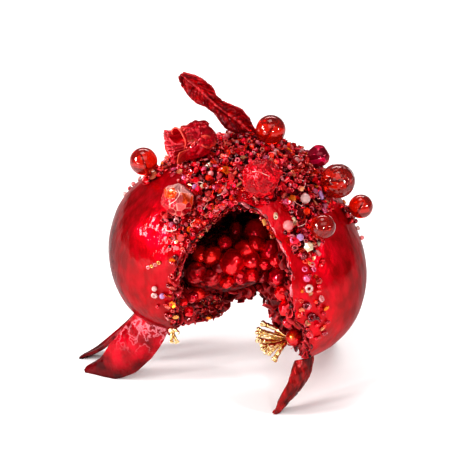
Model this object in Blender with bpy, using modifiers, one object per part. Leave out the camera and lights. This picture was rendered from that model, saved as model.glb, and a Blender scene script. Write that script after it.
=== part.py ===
"""Open pomegranate ornament, crown down: a split glossy fruit that stands on the lobes of its crown.

A mound of berries fills the torn opening, a crust of seed beads covers the top, and glass beads,
crinkled beads, a rosebud and a leaf are set into the crust. Lengths are millimetres until a mesh is made.
"""

import math
import random

import bmesh
import bpy
import numpy as np
from mathutils import Vector, noise
from mathutils.bvhtree import BVHTree

MM = 0.001
GAP = 0.35
SEED = 7

# The fruit: three rounded lobes blended into one skin, given from the fruit's centre.
CENTRE = np.array([10.1, 3.0, 68.0])
LOBES = (
    ((0.0, 0.0, 7.0), (42.5, 40.0, 39.0)),
    ((-31.2, 3.0, -4.5), (27.0, 34.0, 33.0)),
    ((20.8, -5.0, -13.0), (33.8, 37.0, 37.2)),
)
BLEND = 6.0
SKIN_COLUMNS = 40
SKIN_ROWS = 24

# The torn opening: an arch that narrows from front to back along an axis tilted down.
TILT = math.radians(28)
ARCH_POINTS = 36
FRONT_ARCH = (
    (-31, -80), (-28.8, -33), (-28.3, -16), (-27, -8), (-22.2, -0.7), (-16, 7.3), (-7.9, 15),
    (-0.4, 17.4), (5.8, 15.6), (10.2, 11.4), (15.7, 0.8), (20.2, -9.3), (20.8, -18),
    (22.7, -30.7), (28.6, -38.6), (31, -80),
)
BACK_ARCH = (
    (-34, -80), (-29, -42), (-22, -39.8), (-16.4, -38.6), (-12.6, -32.6), (-6, -26.2),
    (2.3, -22.6), (10.4, -19), (11.9, -23), (14, -28.8), (16.4, -33), (19.2, -40), (24.5, -45),
    (27.5, -52), (29, -80),
)
ARCH_DEPTHS = (-75.0, -8.0, 16.0, 75.0)
TEAR_DEPTH = 2.2
TEAR_LENGTH = 2.9
TEAR_FROM = -45.0
CAVITY_AT = (-3.0, -4.0, -6.0)
CAVITY_RADII = (33.0, 24.0, 29.0)

# The berries in the opening: (across, up, radius) of the ones that stand out, then smaller ones.
MOUND_AT = (-3.0, -6.2, 8.0)
MOUND_RADII = (26.5, 13.8, 14.0)
MOUND_ROLL = math.radians(17)
BERRIES = (
    (-4, -7.5, 5.3), (6.2, 5.7, 5.0), (1.2, -1.4, 3.5), (7, 0.9, 3.5), (-2.2, 6.6, 2.9),
    (12.8, -1.8, 3.9), (-12.8, -4, 3.5), (15.6, -13.6, 4.0), (-19.8, -12, 4.2), (-12.8, -14, 3.0),
    (4.8, -6.5, 3.2),
    (-9.4, -9.5, 2.7), (-25, -20.5, 2.7), (-19.6, -21.5, 3.0), (10.4, -7.8, 2.9), (-0.4, -14, 2.7),
    (-6.2, -16, 2.6), (5, -12.5, 2.8), (10, -13.5, 2.6), (-7.5, 1, 2.6), (-18, -4, 2.7), (14, 5, 2.6),
)
SMALL_BERRIES = 10
SMALL_BERRY_RADII = (2.0, 2.5)
BERRY_SPREAD = 0.92
BERRY_SPACING = 0.85
BERRY_TRIES = 4000
ROUND_BERRY = 2.55

# The crust: seed beads on a thin bed that covers these round patches, (azimuth, elevation, radius).
CRUST_PATCHES = (
    (-33, 64, 20), (53, 68, 22), (67, 43, 13), (-41, 37, 10), (-30, 27, 5), (40, 24, 8.5), (38, 12, 8),
    (34, 2, 7.5), (31, -9, 6.5), (-84, 47, 9), (-98, 37, 8), (82, 26, 9), (89, 15, 7), (180, 68, 27),
    (150, 48, 14), (-140, 50, 15),
)
# The bed's rim is drawn this share of the way onto the patches' edges, where it is this near to them.
PATCH_SNAP = 0.8
PATCH_REACH = 5.0
BED_OVER_PATCH = 1.0
BED_OVER_ARCH = 6.0
BED_LIFT = 0.85
BED_THICKNESS = 0.9
BED_TOP = BED_LIFT + BED_THICKNESS
SEED_RADIUS = 2.1
SEED_SPACING = 6.5
SEED_MARGIN = 1.4
SPIRAL_POINTS = 9000

# Glass beads: (azimuth, elevation, radius). Azimuth 0 faces the front and grows to the right.
GLASS_BEADS = (
    (-93, 41.4, 6.0), (112, 75.6, 6.4), (73, 40.8, 7.3), (82, 22.3, 5.2), (46, 28.8, 5.3),
)
# Crinkled beads: (azimuth, elevation, radius, depth of the creases, fineness of the mesh).
CRINKLED_BEADS = (
    (16, 58, 8.3, 0.2, 3), (-43, 43, 7.2, 0.22, 3), (93.5, 51.5, 4.9, 0.24, 2),
)
CREASES_PER_BEAD = 2.6
# The rosebud: its seat, the way it points and how much it rises, then (share of its length, radius)
# from its root round the lip and into its mouth.
BUD_SEAT = (-78, 67.5, 7.8)
BUD_WAY = (-0.95, -0.3, 0.0)
BUD_RISE = 0.22
BUD_LENGTH = 21.0
BUD_SIDES = 18
BUD_PROFILE = (
    (0.0, 1.6), (0.07, 4.2), (0.2, 6.6), (0.38, 7.6), (0.58, 7.6), (0.76, 7.0), (0.9, 7.3), (1.0, 8.0),
    (0.97, 6.4), (0.8, 4.4), (0.62, 1.8),
)

# Blades, from the fruit's centre: spine from root to tip, the way the blade is wide, half widths.
LEAF_SPINE = (
    (7.2, 9.5, 47.6), (1.5, 10, 52), (-6, 10, 58.2), (-12, 10, 63.2), (-18, 10, 69), (-25.5, 10, 76),
)
LEAF_SIDES = (
    (0.6, -0.3, 0.75), (0.6, -0.3, 0.75), (0.6, 0.2, 0.75), (0.45, -0.3, 0.8), (0.6, -0.2, 0.75),
)
LEAF_HALVES = (0.8, 2.6, 4.8, 5.8, 4.6, 3.2, 3.6, 5.4, 5.6, 4.6, 1.6)
LEAF_THICKNESS = 0.9
LEAF_CUP = 0.16
LEAF_WAVE = 0.35
LEAF_ROWS = 15
CALYX_LOBES = {
    "calyx_lobe_near": (
        ((-36, -6, -28), (-42, -5.5, -41), (-50, -4, -52.5), (-60, -1, -63), (-71.5, 3, -68)),
        ((0.8, -0.45, -0.3), (0.8, -0.45, -0.35), (0.8, -0.4, -0.4), (0.75, -0.4, -0.5)),
        (8.0, 8.8, 9.2, 8.6, 5.8, 1.2),
    ),
    "calyx_lobe_far": (
        ((-40, 9, -29), (-48, 12, -41.5), (-58, 14, -53.8), (-67, 14.8, -62.6), (-76, 14.4, -68)),
        ((0.3, 0.9, 0.0), (0.25, 0.9, -0.1), (0.2, 0.9, -0.2)),
        (8.0, 8.8, 8.5, 7.2, 5.0, 1.2),
    ),
    "calyx_lobe_front": (
        ((26.5, -14, -40), (28, -19, -46), (25, -25, -53.5), (19.4, -29, -61), (15, -30.5, -68.5)),
        ((0.6, 0.8, 0.0), (0.6, 0.8, 0.0), (0.65, 0.75, 0.0)),
        (4.6, 5.4, 7.2, 7.2, 4.8, 1.1),
    ),
    "calyx_lobe_back": (
        ((28, 8, -40), (33, 16, -46), (38, 24, -54), (42, 29, -61), (44, 31, -68.5)),
        ((0.85, -0.5, 0.1), (0.85, -0.5, 0.1), (0.8, -0.5, 0.2)),
        (8.5, 8.5, 7.5, 6.0, 4.0, 1.2),
    ),
}
LOBE_THICKNESS = 1.7
LOBE_CUP = 0.32

# Gold stamens, along the opening's axes: root, its radius, tips, radius of a rod.
STAMENS = {
    "stamens_right": (
        (21.7, -41.5, 4.6), 3.2,
        (
            (9.5, -34.6, 2), (7.3, -37.6, 1), (7.3, -41.8, 0), (10.4, -46.6, 0), (14.6, -50.4, 1),
            (8.4, -39.6, 6), (9.0, -44.2, -5), (12.4, -48, 6),
        ),
        1.15,
    ),
    "stamens_left": (
        (-30, -36.8, -9.7), 1.9, ((-27.2, -37.8, -11), (-27.8, -42.3, -8), (-30.2, -41.8, -10)), 0.75,
    ),
}
ANTHER_SIZE = 1.45
ROD_BEND = 1.2
CROWN_BEAD_AT = (23.3, -40.4, -3.5)
CROWN_BEAD_RADIUS = 4.0


def clear_scene():
    for obj in list(bpy.data.objects):
        bpy.data.objects.remove(obj)
    for collection in list(bpy.data.collections):
        bpy.data.collections.remove(collection)


def material(name, colour, roughness, metallic=0.0, clear=0.0):
    made = bpy.data.materials.new(name)
    made.use_nodes = True
    shader = made.node_tree.nodes["Principled BSDF"]
    shader.inputs["Base Color"].default_value = (*colour, 1.0)
    shader.inputs["Roughness"].default_value = roughness
    shader.inputs["Metallic"].default_value = metallic
    shader.inputs["Transmission Weight"].default_value = clear
    made.diffuse_color = (*colour, 1.0)
    return made


def add_object(name, data, collection):
    obj = bpy.data.objects.new(name, data)
    collection.objects.link(obj)
    return obj


def finish(obj, surface, sharp_angle=50):
    """Gives the object its one material and smooth faces, with edges sharper than the angle kept."""
    obj.data.materials.clear()
    obj.data.materials.append(surface)
    obj.data.shade_smooth()
    obj.data.set_sharp_from_angle(angle=math.radians(sharp_angle))


def mesh_from(bm):
    """A mesh in metres from a bmesh in millimetres, with its faces pointing out."""
    bmesh.ops.recalc_face_normals(bm, faces=bm.faces)
    for vert in bm.verts:
        vert.co *= MM
    mesh = bpy.data.meshes.new("shape")
    bm.to_mesh(mesh)
    bm.free()
    return mesh


def evaluated_mesh(obj):
    bpy.context.view_layer.update()
    graph = bpy.context.evaluated_depsgraph_get()
    return bpy.data.meshes.new_from_object(obj.evaluated_get(graph))


def apply_modifiers(obj):
    mesh = evaluated_mesh(obj)
    obj.modifiers.clear()
    obj.data = mesh


def combine(obj, other, operation):
    """Joins, cuts or trims obj by other, an object or a collection of them, and removes other."""
    step = obj.modifiers.new("combine", "BOOLEAN")
    step.operation = operation
    step.solver = "EXACT"
    several = isinstance(other, bpy.types.Collection)
    if several:
        step.operand_type = "COLLECTION"
        step.collection = other
    else:
        step.object = other
    apply_modifiers(obj)
    for part in list(other.objects) if several else [other]:
        bpy.data.objects.remove(part)
    if several:
        bpy.data.collections.remove(other)


def new_collection(name):
    collection = bpy.data.collections.new(name)
    bpy.context.scene.collection.children.link(collection)
    return collection


def ball(at, radius, fineness):
    """An icosphere as a bmesh in millimetres. Its place is given from the fruit's centre."""
    bm = bmesh.new()
    bmesh.ops.create_icosphere(bm, subdivisions=fineness, radius=radius)
    bmesh.ops.translate(bm, verts=bm.verts, vec=Vector(at + CENTRE))
    return bm


def solidify(obj, thickness, offset):
    step = obj.modifiers.new("thickness", "SOLIDIFY")
    step.thickness = thickness * MM
    step.offset = offset
    apply_modifiers(obj)


def smooth_through(points, count):
    """count points, evenly spaced along a Catmull-Rom curve through the given ones."""
    knots = np.array([points[0], *points, points[-1]], float)
    fine = []
    for a, b, c, d in zip(knots, knots[1:], knots[2:], knots[3:]):
        for t in np.linspace(0, 1, 16, endpoint=False):
            bend = (2 * a - 5 * b + 4 * c - d) * t**2 + (3 * b - a - 3 * c + d) * t**3
            fine.append(0.5 * (2 * b + (c - a) * t + bend))
    fine.append(knots[-1])
    fine = np.array(fine)
    along = np.concatenate([[0], np.cumsum(np.linalg.norm(np.diff(fine, axis=0), axis=1))])
    wanted = np.linspace(0, along[-1], count)
    return np.stack([np.interp(wanted, along, fine[:, i]) for i in range(fine.shape[1])], axis=1)


def skin_field(points):
    """Below 0 inside the fruit, above 0 outside it. Points are given from the fruit's centre."""
    levels = [
        (np.linalg.norm((points - np.array(at)) / radii, axis=1) - 1) * min(radii) for at, radii in LOBES
    ]
    return -BLEND * np.log(sum(np.exp(-level / BLEND) for level in levels))


def skin_radius(directions):
    """How far the skin is from the fruit's centre in each direction, found by halving."""
    low = np.full(len(directions), 5.0)
    high = np.full(len(directions), 90.0)
    for _ in range(30):
        middle = (low + high) / 2
        inside = skin_field(directions * middle[:, None]) < 0
        low = np.where(inside, middle, low)
        high = np.where(inside, high, middle)
    return (low + high) / 2


def skin_normals(points, step=0.5):
    slope = [skin_field(points + offset) - skin_field(points - offset) for offset in np.eye(3) * step]
    normals = np.stack(slope, axis=1)
    return normals / np.linalg.norm(normals, axis=1)[:, None]


def direction(azimuth, elevation):
    a, e = math.radians(azimuth), math.radians(elevation)
    return np.array([math.sin(a) * math.cos(e), -math.cos(a) * math.cos(e), math.sin(e)])


def seat(azimuth, elevation):
    """The skin's point in that direction, from the fruit's centre, and its normal."""
    way = direction(azimuth, elevation)[None]
    point = way * skin_radius(way)[:, None]
    return point[0], skin_normals(point)[0]


def opening_point(across, up, deep):
    """A point given along the opening's own axes, from the fruit's centre."""
    return np.array([
        across,
        up * math.sin(TILT) + deep * math.cos(TILT),
        up * math.cos(TILT) - deep * math.sin(TILT),
    ])


def inset(outline, distance):
    """An open outline, clockwise over its hollow, moved into the hollow by distance."""
    ahead = np.gradient(outline, axis=0)
    ahead /= np.linalg.norm(ahead, axis=1)[:, None]
    return outline + distance * np.stack([ahead[:, 1], -ahead[:, 0]], axis=1)


def tear(outline):
    """Roughens the part of the outline that lies inside the fruit, as a torn edge."""
    torn = outline.copy()
    for i, (across, up) in enumerate(outline):
        if up > TEAR_FROM:
            torn[i, 1] += TEAR_DEPTH * noise.noise(Vector((across, up, 0.0)) / TEAR_LENGTH)
    return torn


def opening_loft(clearance):
    """The arch as one closed solid, from in front of the fruit to behind it."""
    front = inset(smooth_through(FRONT_ARCH, ARCH_POINTS), clearance)
    back = inset(tear(smooth_through(BACK_ARCH, ARCH_POINTS)), clearance)
    bm = bmesh.new()
    rings = []
    for deep, outline in zip(ARCH_DEPTHS, (front, front, back, back)):
        rings.append([bm.verts.new(opening_point(*point, deep) + CENTRE) for point in outline])
    for near, far in zip(rings, rings[1:]):
        for i in range(ARCH_POINTS):
            j = (i + 1) % ARCH_POINTS
            bm.faces.new((near[i], near[j], far[j], far[i]))
    bm.faces.new(rings[0])
    bm.faces.new(rings[-1])
    return mesh_from(bm)


def tilted_ellipsoid(at, radii, roll=0.0, columns=24, rows=14):
    """An ellipsoid along the opening's axes, rolled about the opening's depth."""
    bm = bmesh.new()
    bmesh.ops.create_uvsphere(bm, u_segments=columns, v_segments=rows, radius=1)
    for vert in bm.verts:
        across, up, deep = np.array(vert.co) * radii
        turned = across * math.cos(roll) - up * math.sin(roll)
        raised = across * math.sin(roll) + up * math.cos(roll)
        vert.co = Vector(opening_point(turned + at[0], raised + at[1], deep + at[2]) + CENTRE)
    return mesh_from(bm)


def opening_solid(helpers, clearance):
    """What is missing from the fruit: the arch and the wider hollow behind its rim."""
    arch = add_object("opening", opening_loft(clearance), helpers)
    radii = np.array(CAVITY_RADII) - clearance
    hollow = add_object("hollow", tilted_ellipsoid(CAVITY_AT, radii), helpers)
    combine(arch, hollow, "UNION")
    return arch


def whole_fruit(name, collection, growth=0.0):
    """The fruit before it split, larger all round by growth."""
    bm = bmesh.new()
    bmesh.ops.create_uvsphere(bm, u_segments=SKIN_COLUMNS, v_segments=SKIN_ROWS, radius=1)
    ways = np.array([vert.co.normalized() for vert in bm.verts])
    for vert, way, radius in zip(bm.verts, ways, skin_radius(ways) + growth):
        vert.co = Vector(way * radius + CENTRE)
    return add_object(name, mesh_from(bm), collection)


def fruit_shell(parts, helpers, surface):
    shell = whole_fruit("fruit_shell", parts)
    combine(shell, opening_solid(helpers, 0.0), "DIFFERENCE")
    finish(shell, surface, sharp_angle=40)


def mound_point(across, up):
    """The point of the mound's front at this place in the opening."""
    right, above = across - MOUND_AT[0], up - MOUND_AT[1]
    turned = right * math.cos(MOUND_ROLL) + above * math.sin(MOUND_ROLL)
    raised = above * math.cos(MOUND_ROLL) - right * math.sin(MOUND_ROLL)
    share = (turned / MOUND_RADII[0]) ** 2 + (raised / MOUND_RADII[1]) ** 2
    return opening_point(across, up, MOUND_AT[2] - MOUND_RADII[2] * math.sqrt(max(0.0, 1 - share)))


def berry_places():
    """(across, up, radius) of every berry: the stated ones, then small ones wherever they fit."""
    draw = random.Random(SEED)
    placed = list(BERRIES)
    tries = 0
    while len(placed) < len(BERRIES) + SMALL_BERRIES and tries < BERRY_TRIES:
        tries += 1
        angle = draw.uniform(0, 2 * math.pi)
        reach = BERRY_SPREAD * math.sqrt(draw.random())
        turned = reach * MOUND_RADII[0] * math.cos(angle)
        raised = reach * MOUND_RADII[1] * math.sin(angle)
        across = MOUND_AT[0] + turned * math.cos(MOUND_ROLL) - raised * math.sin(MOUND_ROLL)
        up = MOUND_AT[1] + turned * math.sin(MOUND_ROLL) + raised * math.cos(MOUND_ROLL)
        radius = draw.uniform(*SMALL_BERRY_RADII)
        if all(math.hypot(across - a, up - u) > BERRY_SPACING * (radius + r) for a, u, r in placed):
            placed.append((across, up, radius))
    return placed


def aril_mound(parts, helpers, surface):
    """The mound of berries, trimmed to stand clear of the fruit's torn inside."""
    core = tilted_ellipsoid(MOUND_AT, MOUND_RADII, MOUND_ROLL, 20, 12)
    mound = add_object("aril_mound", core, parts)
    berries = new_collection("berries")
    for across, up, radius in berry_places():
        fineness = 2 if radius > ROUND_BERRY else 1
        add_object("berry", mesh_from(ball(mound_point(across, up), radius, fineness)), berries)
    combine(mound, berries, "UNION")
    combine(mound, opening_solid(helpers, 2 * GAP), "INTERSECT")
    bm = bmesh.new()
    bm.from_mesh(mound.data)
    keep_largest(bm)
    bm.to_mesh(mound.data)
    bm.free()
    finish(mound, surface)


def crust_edge(points):
    """Distance beyond the nearest crust patch, below 0 on it, and that patch's centre and radius."""
    centres = np.array([seat(azimuth, elevation)[0] for azimuth, elevation, _ in CRUST_PATCHES])
    reaches = np.array([reach for _, _, reach in CRUST_PATCHES])
    beyond = np.linalg.norm(points[:, None] - centres[None], axis=2) - reaches
    nearest = beyond.argmin(axis=1)
    return beyond.min(axis=1), centres[nearest], reaches[nearest]


def above_opening(points):
    """How far above the arch's edge each point is, and a large number behind the opening."""
    arch = smooth_through(FRONT_ARCH, ARCH_POINTS)
    up = points @ opening_point(0, 1, 0)
    deep = points @ opening_point(0, 0, 1)
    edge = np.interp(points[:, 0], arch[:, 0], arch[:, 1], left=-90, right=-90)
    return np.where(deep < 0, up - edge, 99.0)


def crust_bed(parts, helpers):
    """A thin layer that follows the skin under the seed beads, cut off where the opening starts."""
    bm = bmesh.new()
    bmesh.ops.create_icosphere(bm, subdivisions=4, radius=1)
    ways = np.array([face.calc_center_median().normalized() for face in bm.faces])
    points = ways * skin_radius(ways)[:, None]
    keep = (crust_edge(points)[0] < BED_OVER_PATCH) & (above_opening(points) > -BED_OVER_ARCH)
    bmesh.ops.delete(bm, geom=[face for face, kept in zip(bm.faces, keep) if not kept], context="FACES")
    drop_pinches(bm)
    keep_largest(bm)
    ways = np.array([vert.co.normalized() for vert in bm.verts])
    points = ways * skin_radius(ways)[:, None]
    beyond, centres, reaches = crust_edge(points)
    for i, vert in enumerate(bm.verts):
        if vert.is_boundary and abs(beyond[i]) < PATCH_REACH:
            outward = (points[i] - centres[i]) / (reaches[i] + beyond[i])
            points[i] -= PATCH_SNAP * beyond[i] * outward
    ways = points / np.linalg.norm(points, axis=1)[:, None]
    for vert, way, radius in zip(bm.verts, ways, skin_radius(ways) + BED_LIFT):
        vert.co = Vector(way * radius + CENTRE)
    bed = add_object("bead_crust", mesh_from(bm), parts)
    solidify(bed, BED_THICKNESS, 1.0)
    combine(bed, add_object("arch", opening_loft(0.0), helpers), "DIFFERENCE")
    return bed


def keep_largest(bm):
    """Removes every island of faces but the one with the most faces."""
    unseen = set(bm.faces)
    islands = []
    while unseen:
        island = set()
        reached = [unseen.pop()]
        while reached:
            face = reached.pop()
            island.add(face)
            near = {other for edge in face.edges for other in edge.link_faces} & unseen
            unseen -= near
            reached.extend(near)
        islands.append(island)
    largest = max(islands, key=len)
    bmesh.ops.delete(bm, geom=[face for face in bm.faces if face not in largest], context="FACES")


def drop_pinches(bm):
    """Removes faces until no two of them meet at a point alone."""
    pinched = True
    while pinched:
        pinched = False
        for vert in list(bm.verts):
            rim = [edge for edge in vert.link_edges if edge.is_boundary]
            if len(rim) > 2:
                bmesh.ops.delete(bm, geom=[rim[0].link_faces[0]], context="FACES")
                pinched = True
                break


def seed_places(bed, keep_clear):
    """Centres of the seed beads: evenly scattered over the crust's bed, clear of the larger pieces."""
    draw = random.Random(SEED)
    order = np.arange(SPIRAL_POINTS) + 0.5
    polar = np.arccos(1 - 2 * order / SPIRAL_POINTS)
    turn = math.pi * (1 + 5**0.5) * order
    ways = np.stack([np.cos(turn) * np.sin(polar), np.sin(turn) * np.sin(polar), np.cos(polar)], axis=1)
    points = ways * skin_radius(ways)[:, None]
    points = points[(crust_edge(points)[0] < -SEED_MARGIN) & (above_opening(points) > SEED_MARGIN)]
    normals = skin_normals(points)
    beads = points + normals * (GAP + SEED_RADIUS)
    graph = bpy.context.evaluated_depsgraph_get()
    surface = BVHTree.FromObject(bed, graph)
    chosen = []
    for i in draw.sample(range(len(points)), len(points)):
        start = Vector((beads[i] + CENTRE) * MM)
        below = surface.ray_cast(start, Vector(-normals[i]), 2 * SEED_RADIUS * MM)[0]
        room = SEED_RADIUS + GAP
        clear = all(np.linalg.norm(beads[i] - at) > reach + room for at, reach in keep_clear)
        apart = all(np.linalg.norm(points[i] - points[j]) > SEED_SPACING for j in chosen)
        if below is not None and clear and apart:
            chosen.append(i)
    return beads[chosen]


def bead_crust(parts, helpers, surface, keep_clear):
    crust = crust_bed(parts, helpers)
    seeds = new_collection("seed_beads")
    for bead in seed_places(crust, keep_clear):
        add_object("seed", mesh_from(ball(bead, SEED_RADIUS, 1)), seeds)
    combine(crust, seeds, "UNION")
    finish(crust, surface)


def set_on_crust(azimuth, elevation, radius):
    """Centre, from the fruit's centre, of a round piece that rests on the crust's bed."""
    point, normal = seat(azimuth, elevation)
    return point + normal * (BED_TOP + GAP + radius)


def glass_beads(parts, surface):
    """Clear round beads. Returns what the seed beads keep clear of."""
    taken = []
    for number, (azimuth, elevation, radius) in enumerate(GLASS_BEADS, 1):
        at = set_on_crust(azimuth, elevation, radius)
        bm = bmesh.new()
        bmesh.ops.create_uvsphere(bm, u_segments=14, v_segments=8, radius=radius)
        bead = add_object(f"glass_bead_{number}", mesh_from(bm), parts)
        bead.location = Vector((at + CENTRE) * MM)
        finish(bead, surface)
        taken.append((at, radius))
    return taken


def crinkled_beads(parts, surface):
    """Beads wrapped in crumpled foil: balls dented by noise, each lying on the crust."""
    taken = []
    for number, (azimuth, elevation, radius, creases, fineness) in enumerate(CRINKLED_BEADS, 1):
        normal = seat(azimuth, elevation)[1]
        at = set_on_crust(azimuth, elevation, radius)
        bm = bmesh.new()
        bmesh.ops.create_icosphere(bm, subdivisions=fineness, radius=1)
        for vert in bm.verts:
            dent = 2 * abs(noise.noise(vert.co * CREASES_PER_BEAD + Vector(at)))
            vert.co *= radius * (1 - creases * min(dent, 1))
        at -= normal * (radius + min(np.array(vert.co) @ normal for vert in bm.verts))
        bead = add_object(f"crinkled_bead_{number}", mesh_from(bm), parts)
        bead.location = Vector((at + CENTRE) * MM)
        finish(bead, surface, sharp_angle=20)
        taken.append((at, radius))
    return taken


def rosebud(parts, surface):
    """A crinkled bud that lies on the crust with its open mouth to the left and a little up."""
    azimuth, elevation, radius = BUD_SEAT
    middle = set_on_crust(azimuth, elevation, radius)
    normal = seat(azimuth, elevation)[1]
    along = np.array(BUD_WAY)
    along -= normal * (along @ normal)
    along = along / np.linalg.norm(along) + BUD_RISE * normal
    along /= np.linalg.norm(along)
    side = np.cross(normal, along)
    side /= np.linalg.norm(side)
    normal = np.cross(along, side)
    bm = bmesh.new()
    rings = []
    for share, reach in BUD_PROFILE:
        ring = []
        for i in range(BUD_SIDES):
            angle = 2 * math.pi * i / BUD_SIDES
            fold = 0.85 + 0.13 * math.cos(5 * angle + 4 * share) + 0.05 * math.cos(3 * angle - 2)
            flat = reach * fold * (math.cos(angle) * side + math.sin(angle) * normal)
            point = middle + along * (share - 0.5) * BUD_LENGTH + flat
            ring.append(bm.verts.new(point + CENTRE))
        rings.append(ring)
    for one, two in zip(rings, rings[1:]):
        for i in range(BUD_SIDES):
            j = (i + 1) % BUD_SIDES
            bm.faces.new((one[i], one[j], two[j], two[i]))
    bm.faces.new(rings[0])
    bm.faces.new(rings[-1])
    finish(add_object("rosebud", mesh_from(bm), parts), surface, sharp_angle=30)
    return [(middle + along * BUD_LENGTH * share, radius + 1.0) for share in (-0.4, -0.2, 0, 0.2, 0.4)]


def blade(name, parts, shape, cup, thickness, wave=0.0, rows=11, columns=4):
    """A leaf or lobe: a curved strip along spine, wide along sides, cupped, then given a thickness."""
    spine, sides, halves = shape
    line = smooth_through(spine, rows)
    across = smooth_through(sides, rows)
    shares = np.linspace(0, 1, len(halves))
    reach = np.interp(np.linspace(0, 1, rows), shares, halves)
    ahead = np.gradient(line, axis=0)
    bm = bmesh.new()
    grid = []
    for i in range(rows):
        side = across[i] - ahead[i] * (across[i] @ ahead[i]) / (ahead[i] @ ahead[i])
        side /= np.linalg.norm(side)
        normal = np.cross(ahead[i], side)
        normal /= np.linalg.norm(normal)
        row = []
        for t in np.linspace(-1, 1, columns + 1):
            ripple = wave * math.sin(i * 1.9 + 2 * t) * abs(t)
            lift = cup * reach[i] * (1 - t * t) + ripple
            row.append(bm.verts.new(line[i] + side * t * reach[i] + normal * lift + CENTRE))
        grid.append(row)
    for one, two in zip(grid, grid[1:]):
        for j in range(columns):
            quad = (one[j], one[j + 1], two[j + 1], two[j])
            bm.faces.new(quad[:3])
            bm.faces.new((quad[0], quad[2], quad[3]))
    obj = add_object(name, mesh_from(bm), parts)
    solidify(obj, thickness, 0.0)
    return obj


def below_floor(helpers):
    bm = bmesh.new()
    bmesh.ops.create_cube(bm, size=200)
    bmesh.ops.translate(bm, verts=bm.verts, vec=(0, 0, -100))
    return add_object("floor_cutter", mesh_from(bm), helpers)


def calyx_lobes(parts, helpers, surface):
    """The lobes of the split crown. They start at the fruit and stand on the floor with flat feet."""
    for name, shape in CALYX_LOBES.items():
        lobe = blade(name, parts, shape, LOBE_CUP, LOBE_THICKNESS)
        combine(lobe, whole_fruit("fruit_cutter", helpers, growth=GAP + 0.15), "DIFFERENCE")
        combine(lobe, below_floor(helpers), "DIFFERENCE")
        finish(lobe, surface)


def top_leaf(parts, surface):
    """The long crinkled leaf that rises from the top of the crust."""
    shape = (LEAF_SPINE, LEAF_SIDES, LEAF_HALVES)
    leaf = blade("top_leaf", parts, shape, LEAF_CUP, LEAF_THICKNESS, LEAF_WAVE, LEAF_ROWS)
    finish(leaf, surface)
    low_part = smooth_through(LEAF_SPINE, 13)[:5]
    return [(point, 1.5 + 0.9 * i) for i, point in enumerate(low_part)]


def rod(collection, line, radius):
    """A capped round rod along a line, as a closed mesh."""
    curve = bpy.data.curves.new("rod", "CURVE")
    curve.dimensions = "3D"
    curve.bevel_depth = radius * MM
    curve.bevel_resolution = 1
    curve.use_fill_caps = True
    spline = curve.splines.new("POLY")
    spline.points.add(len(line) - 1)
    for point, place in zip(spline.points, line):
        point.co = (*((place + CENTRE) * MM), 1)
    guide = add_object("rod_guide", curve, collection)
    mesh = evaluated_mesh(guide)
    bpy.data.objects.remove(guide)
    bm = bmesh.new()
    bm.from_mesh(mesh)
    bmesh.ops.remove_doubles(bm, verts=bm.verts, dist=1e-6)
    bm.to_mesh(mesh)
    bm.free()
    add_object("rod", mesh, collection)


def stamens(parts, surface):
    """Gold stamens that fan out of one base each, bent rods with rounded tips."""
    for name, (root, root_radius, tips, thickness) in STAMENS.items():
        root = opening_point(*root)
        tuft = add_object(name, mesh_from(ball(root, root_radius, 2)), parts)
        rods = new_collection("rods")
        for number, tip in enumerate(tips):
            tip = opening_point(*tip)
            middle = (root + tip) / 2 + np.array([0, 0, ROD_BEND * math.cos(number * 1.7)])
            rod(rods, smooth_through((root, middle, tip), 4), thickness)
            add_object("anther", mesh_from(ball(tip, thickness * ANTHER_SIZE, 1)), rods)
        combine(tuft, rods, "UNION")
        finish(tuft, surface)


def crown_bead(parts, surface):
    """The round bead where the stamens and the front lobe leave the fruit."""
    bm = ball(opening_point(*CROWN_BEAD_AT), CROWN_BEAD_RADIUS, 3)
    finish(add_object("crown_bead", mesh_from(bm), parts), surface)


def build():
    clear_scene()
    parts = new_collection("open_pomegranate")
    helpers = new_collection("cutters")
    lacquer = material("red_lacquer", (0.45, 0.004, 0.012), 0.18)
    aril = material("aril_red", (0.4, 0.003, 0.008), 0.12)
    seeds = material("seed_bead_red", (0.42, 0.01, 0.03), 0.2)
    glass = material("ruby_glass", (0.75, 0.02, 0.01), 0.05, clear=0.8)
    foil = material("crinkled_foil", (0.6, 0.005, 0.02), 0.3, 0.3)
    leaf = material("leaf_red", (0.35, 0.004, 0.008), 0.35)
    gold = material("gold", (0.83, 0.56, 0.22), 0.25, 1.0)

    fruit_shell(parts, helpers, lacquer)
    aril_mound(parts, helpers, aril)
    keep_clear = glass_beads(parts, glass)
    keep_clear += crinkled_beads(parts, foil)
    keep_clear += rosebud(parts, foil)
    keep_clear += top_leaf(parts, leaf)
    bead_crust(parts, helpers, seeds, keep_clear)
    calyx_lobes(parts, helpers, lacquer)
    stamens(parts, gold)
    crown_bead(parts, glass)


build()
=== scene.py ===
"""The open pomegranate ornament dressed: skin, torn hollow, berries, beads, glass, bud, leaf and stamens.

Lengths are millimetres from the fruit's centre until a mesh is made. Meshes are metres in the row frame.
"""

import math

import bmesh
import bpy
import numpy as np
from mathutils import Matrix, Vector, noise


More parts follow.
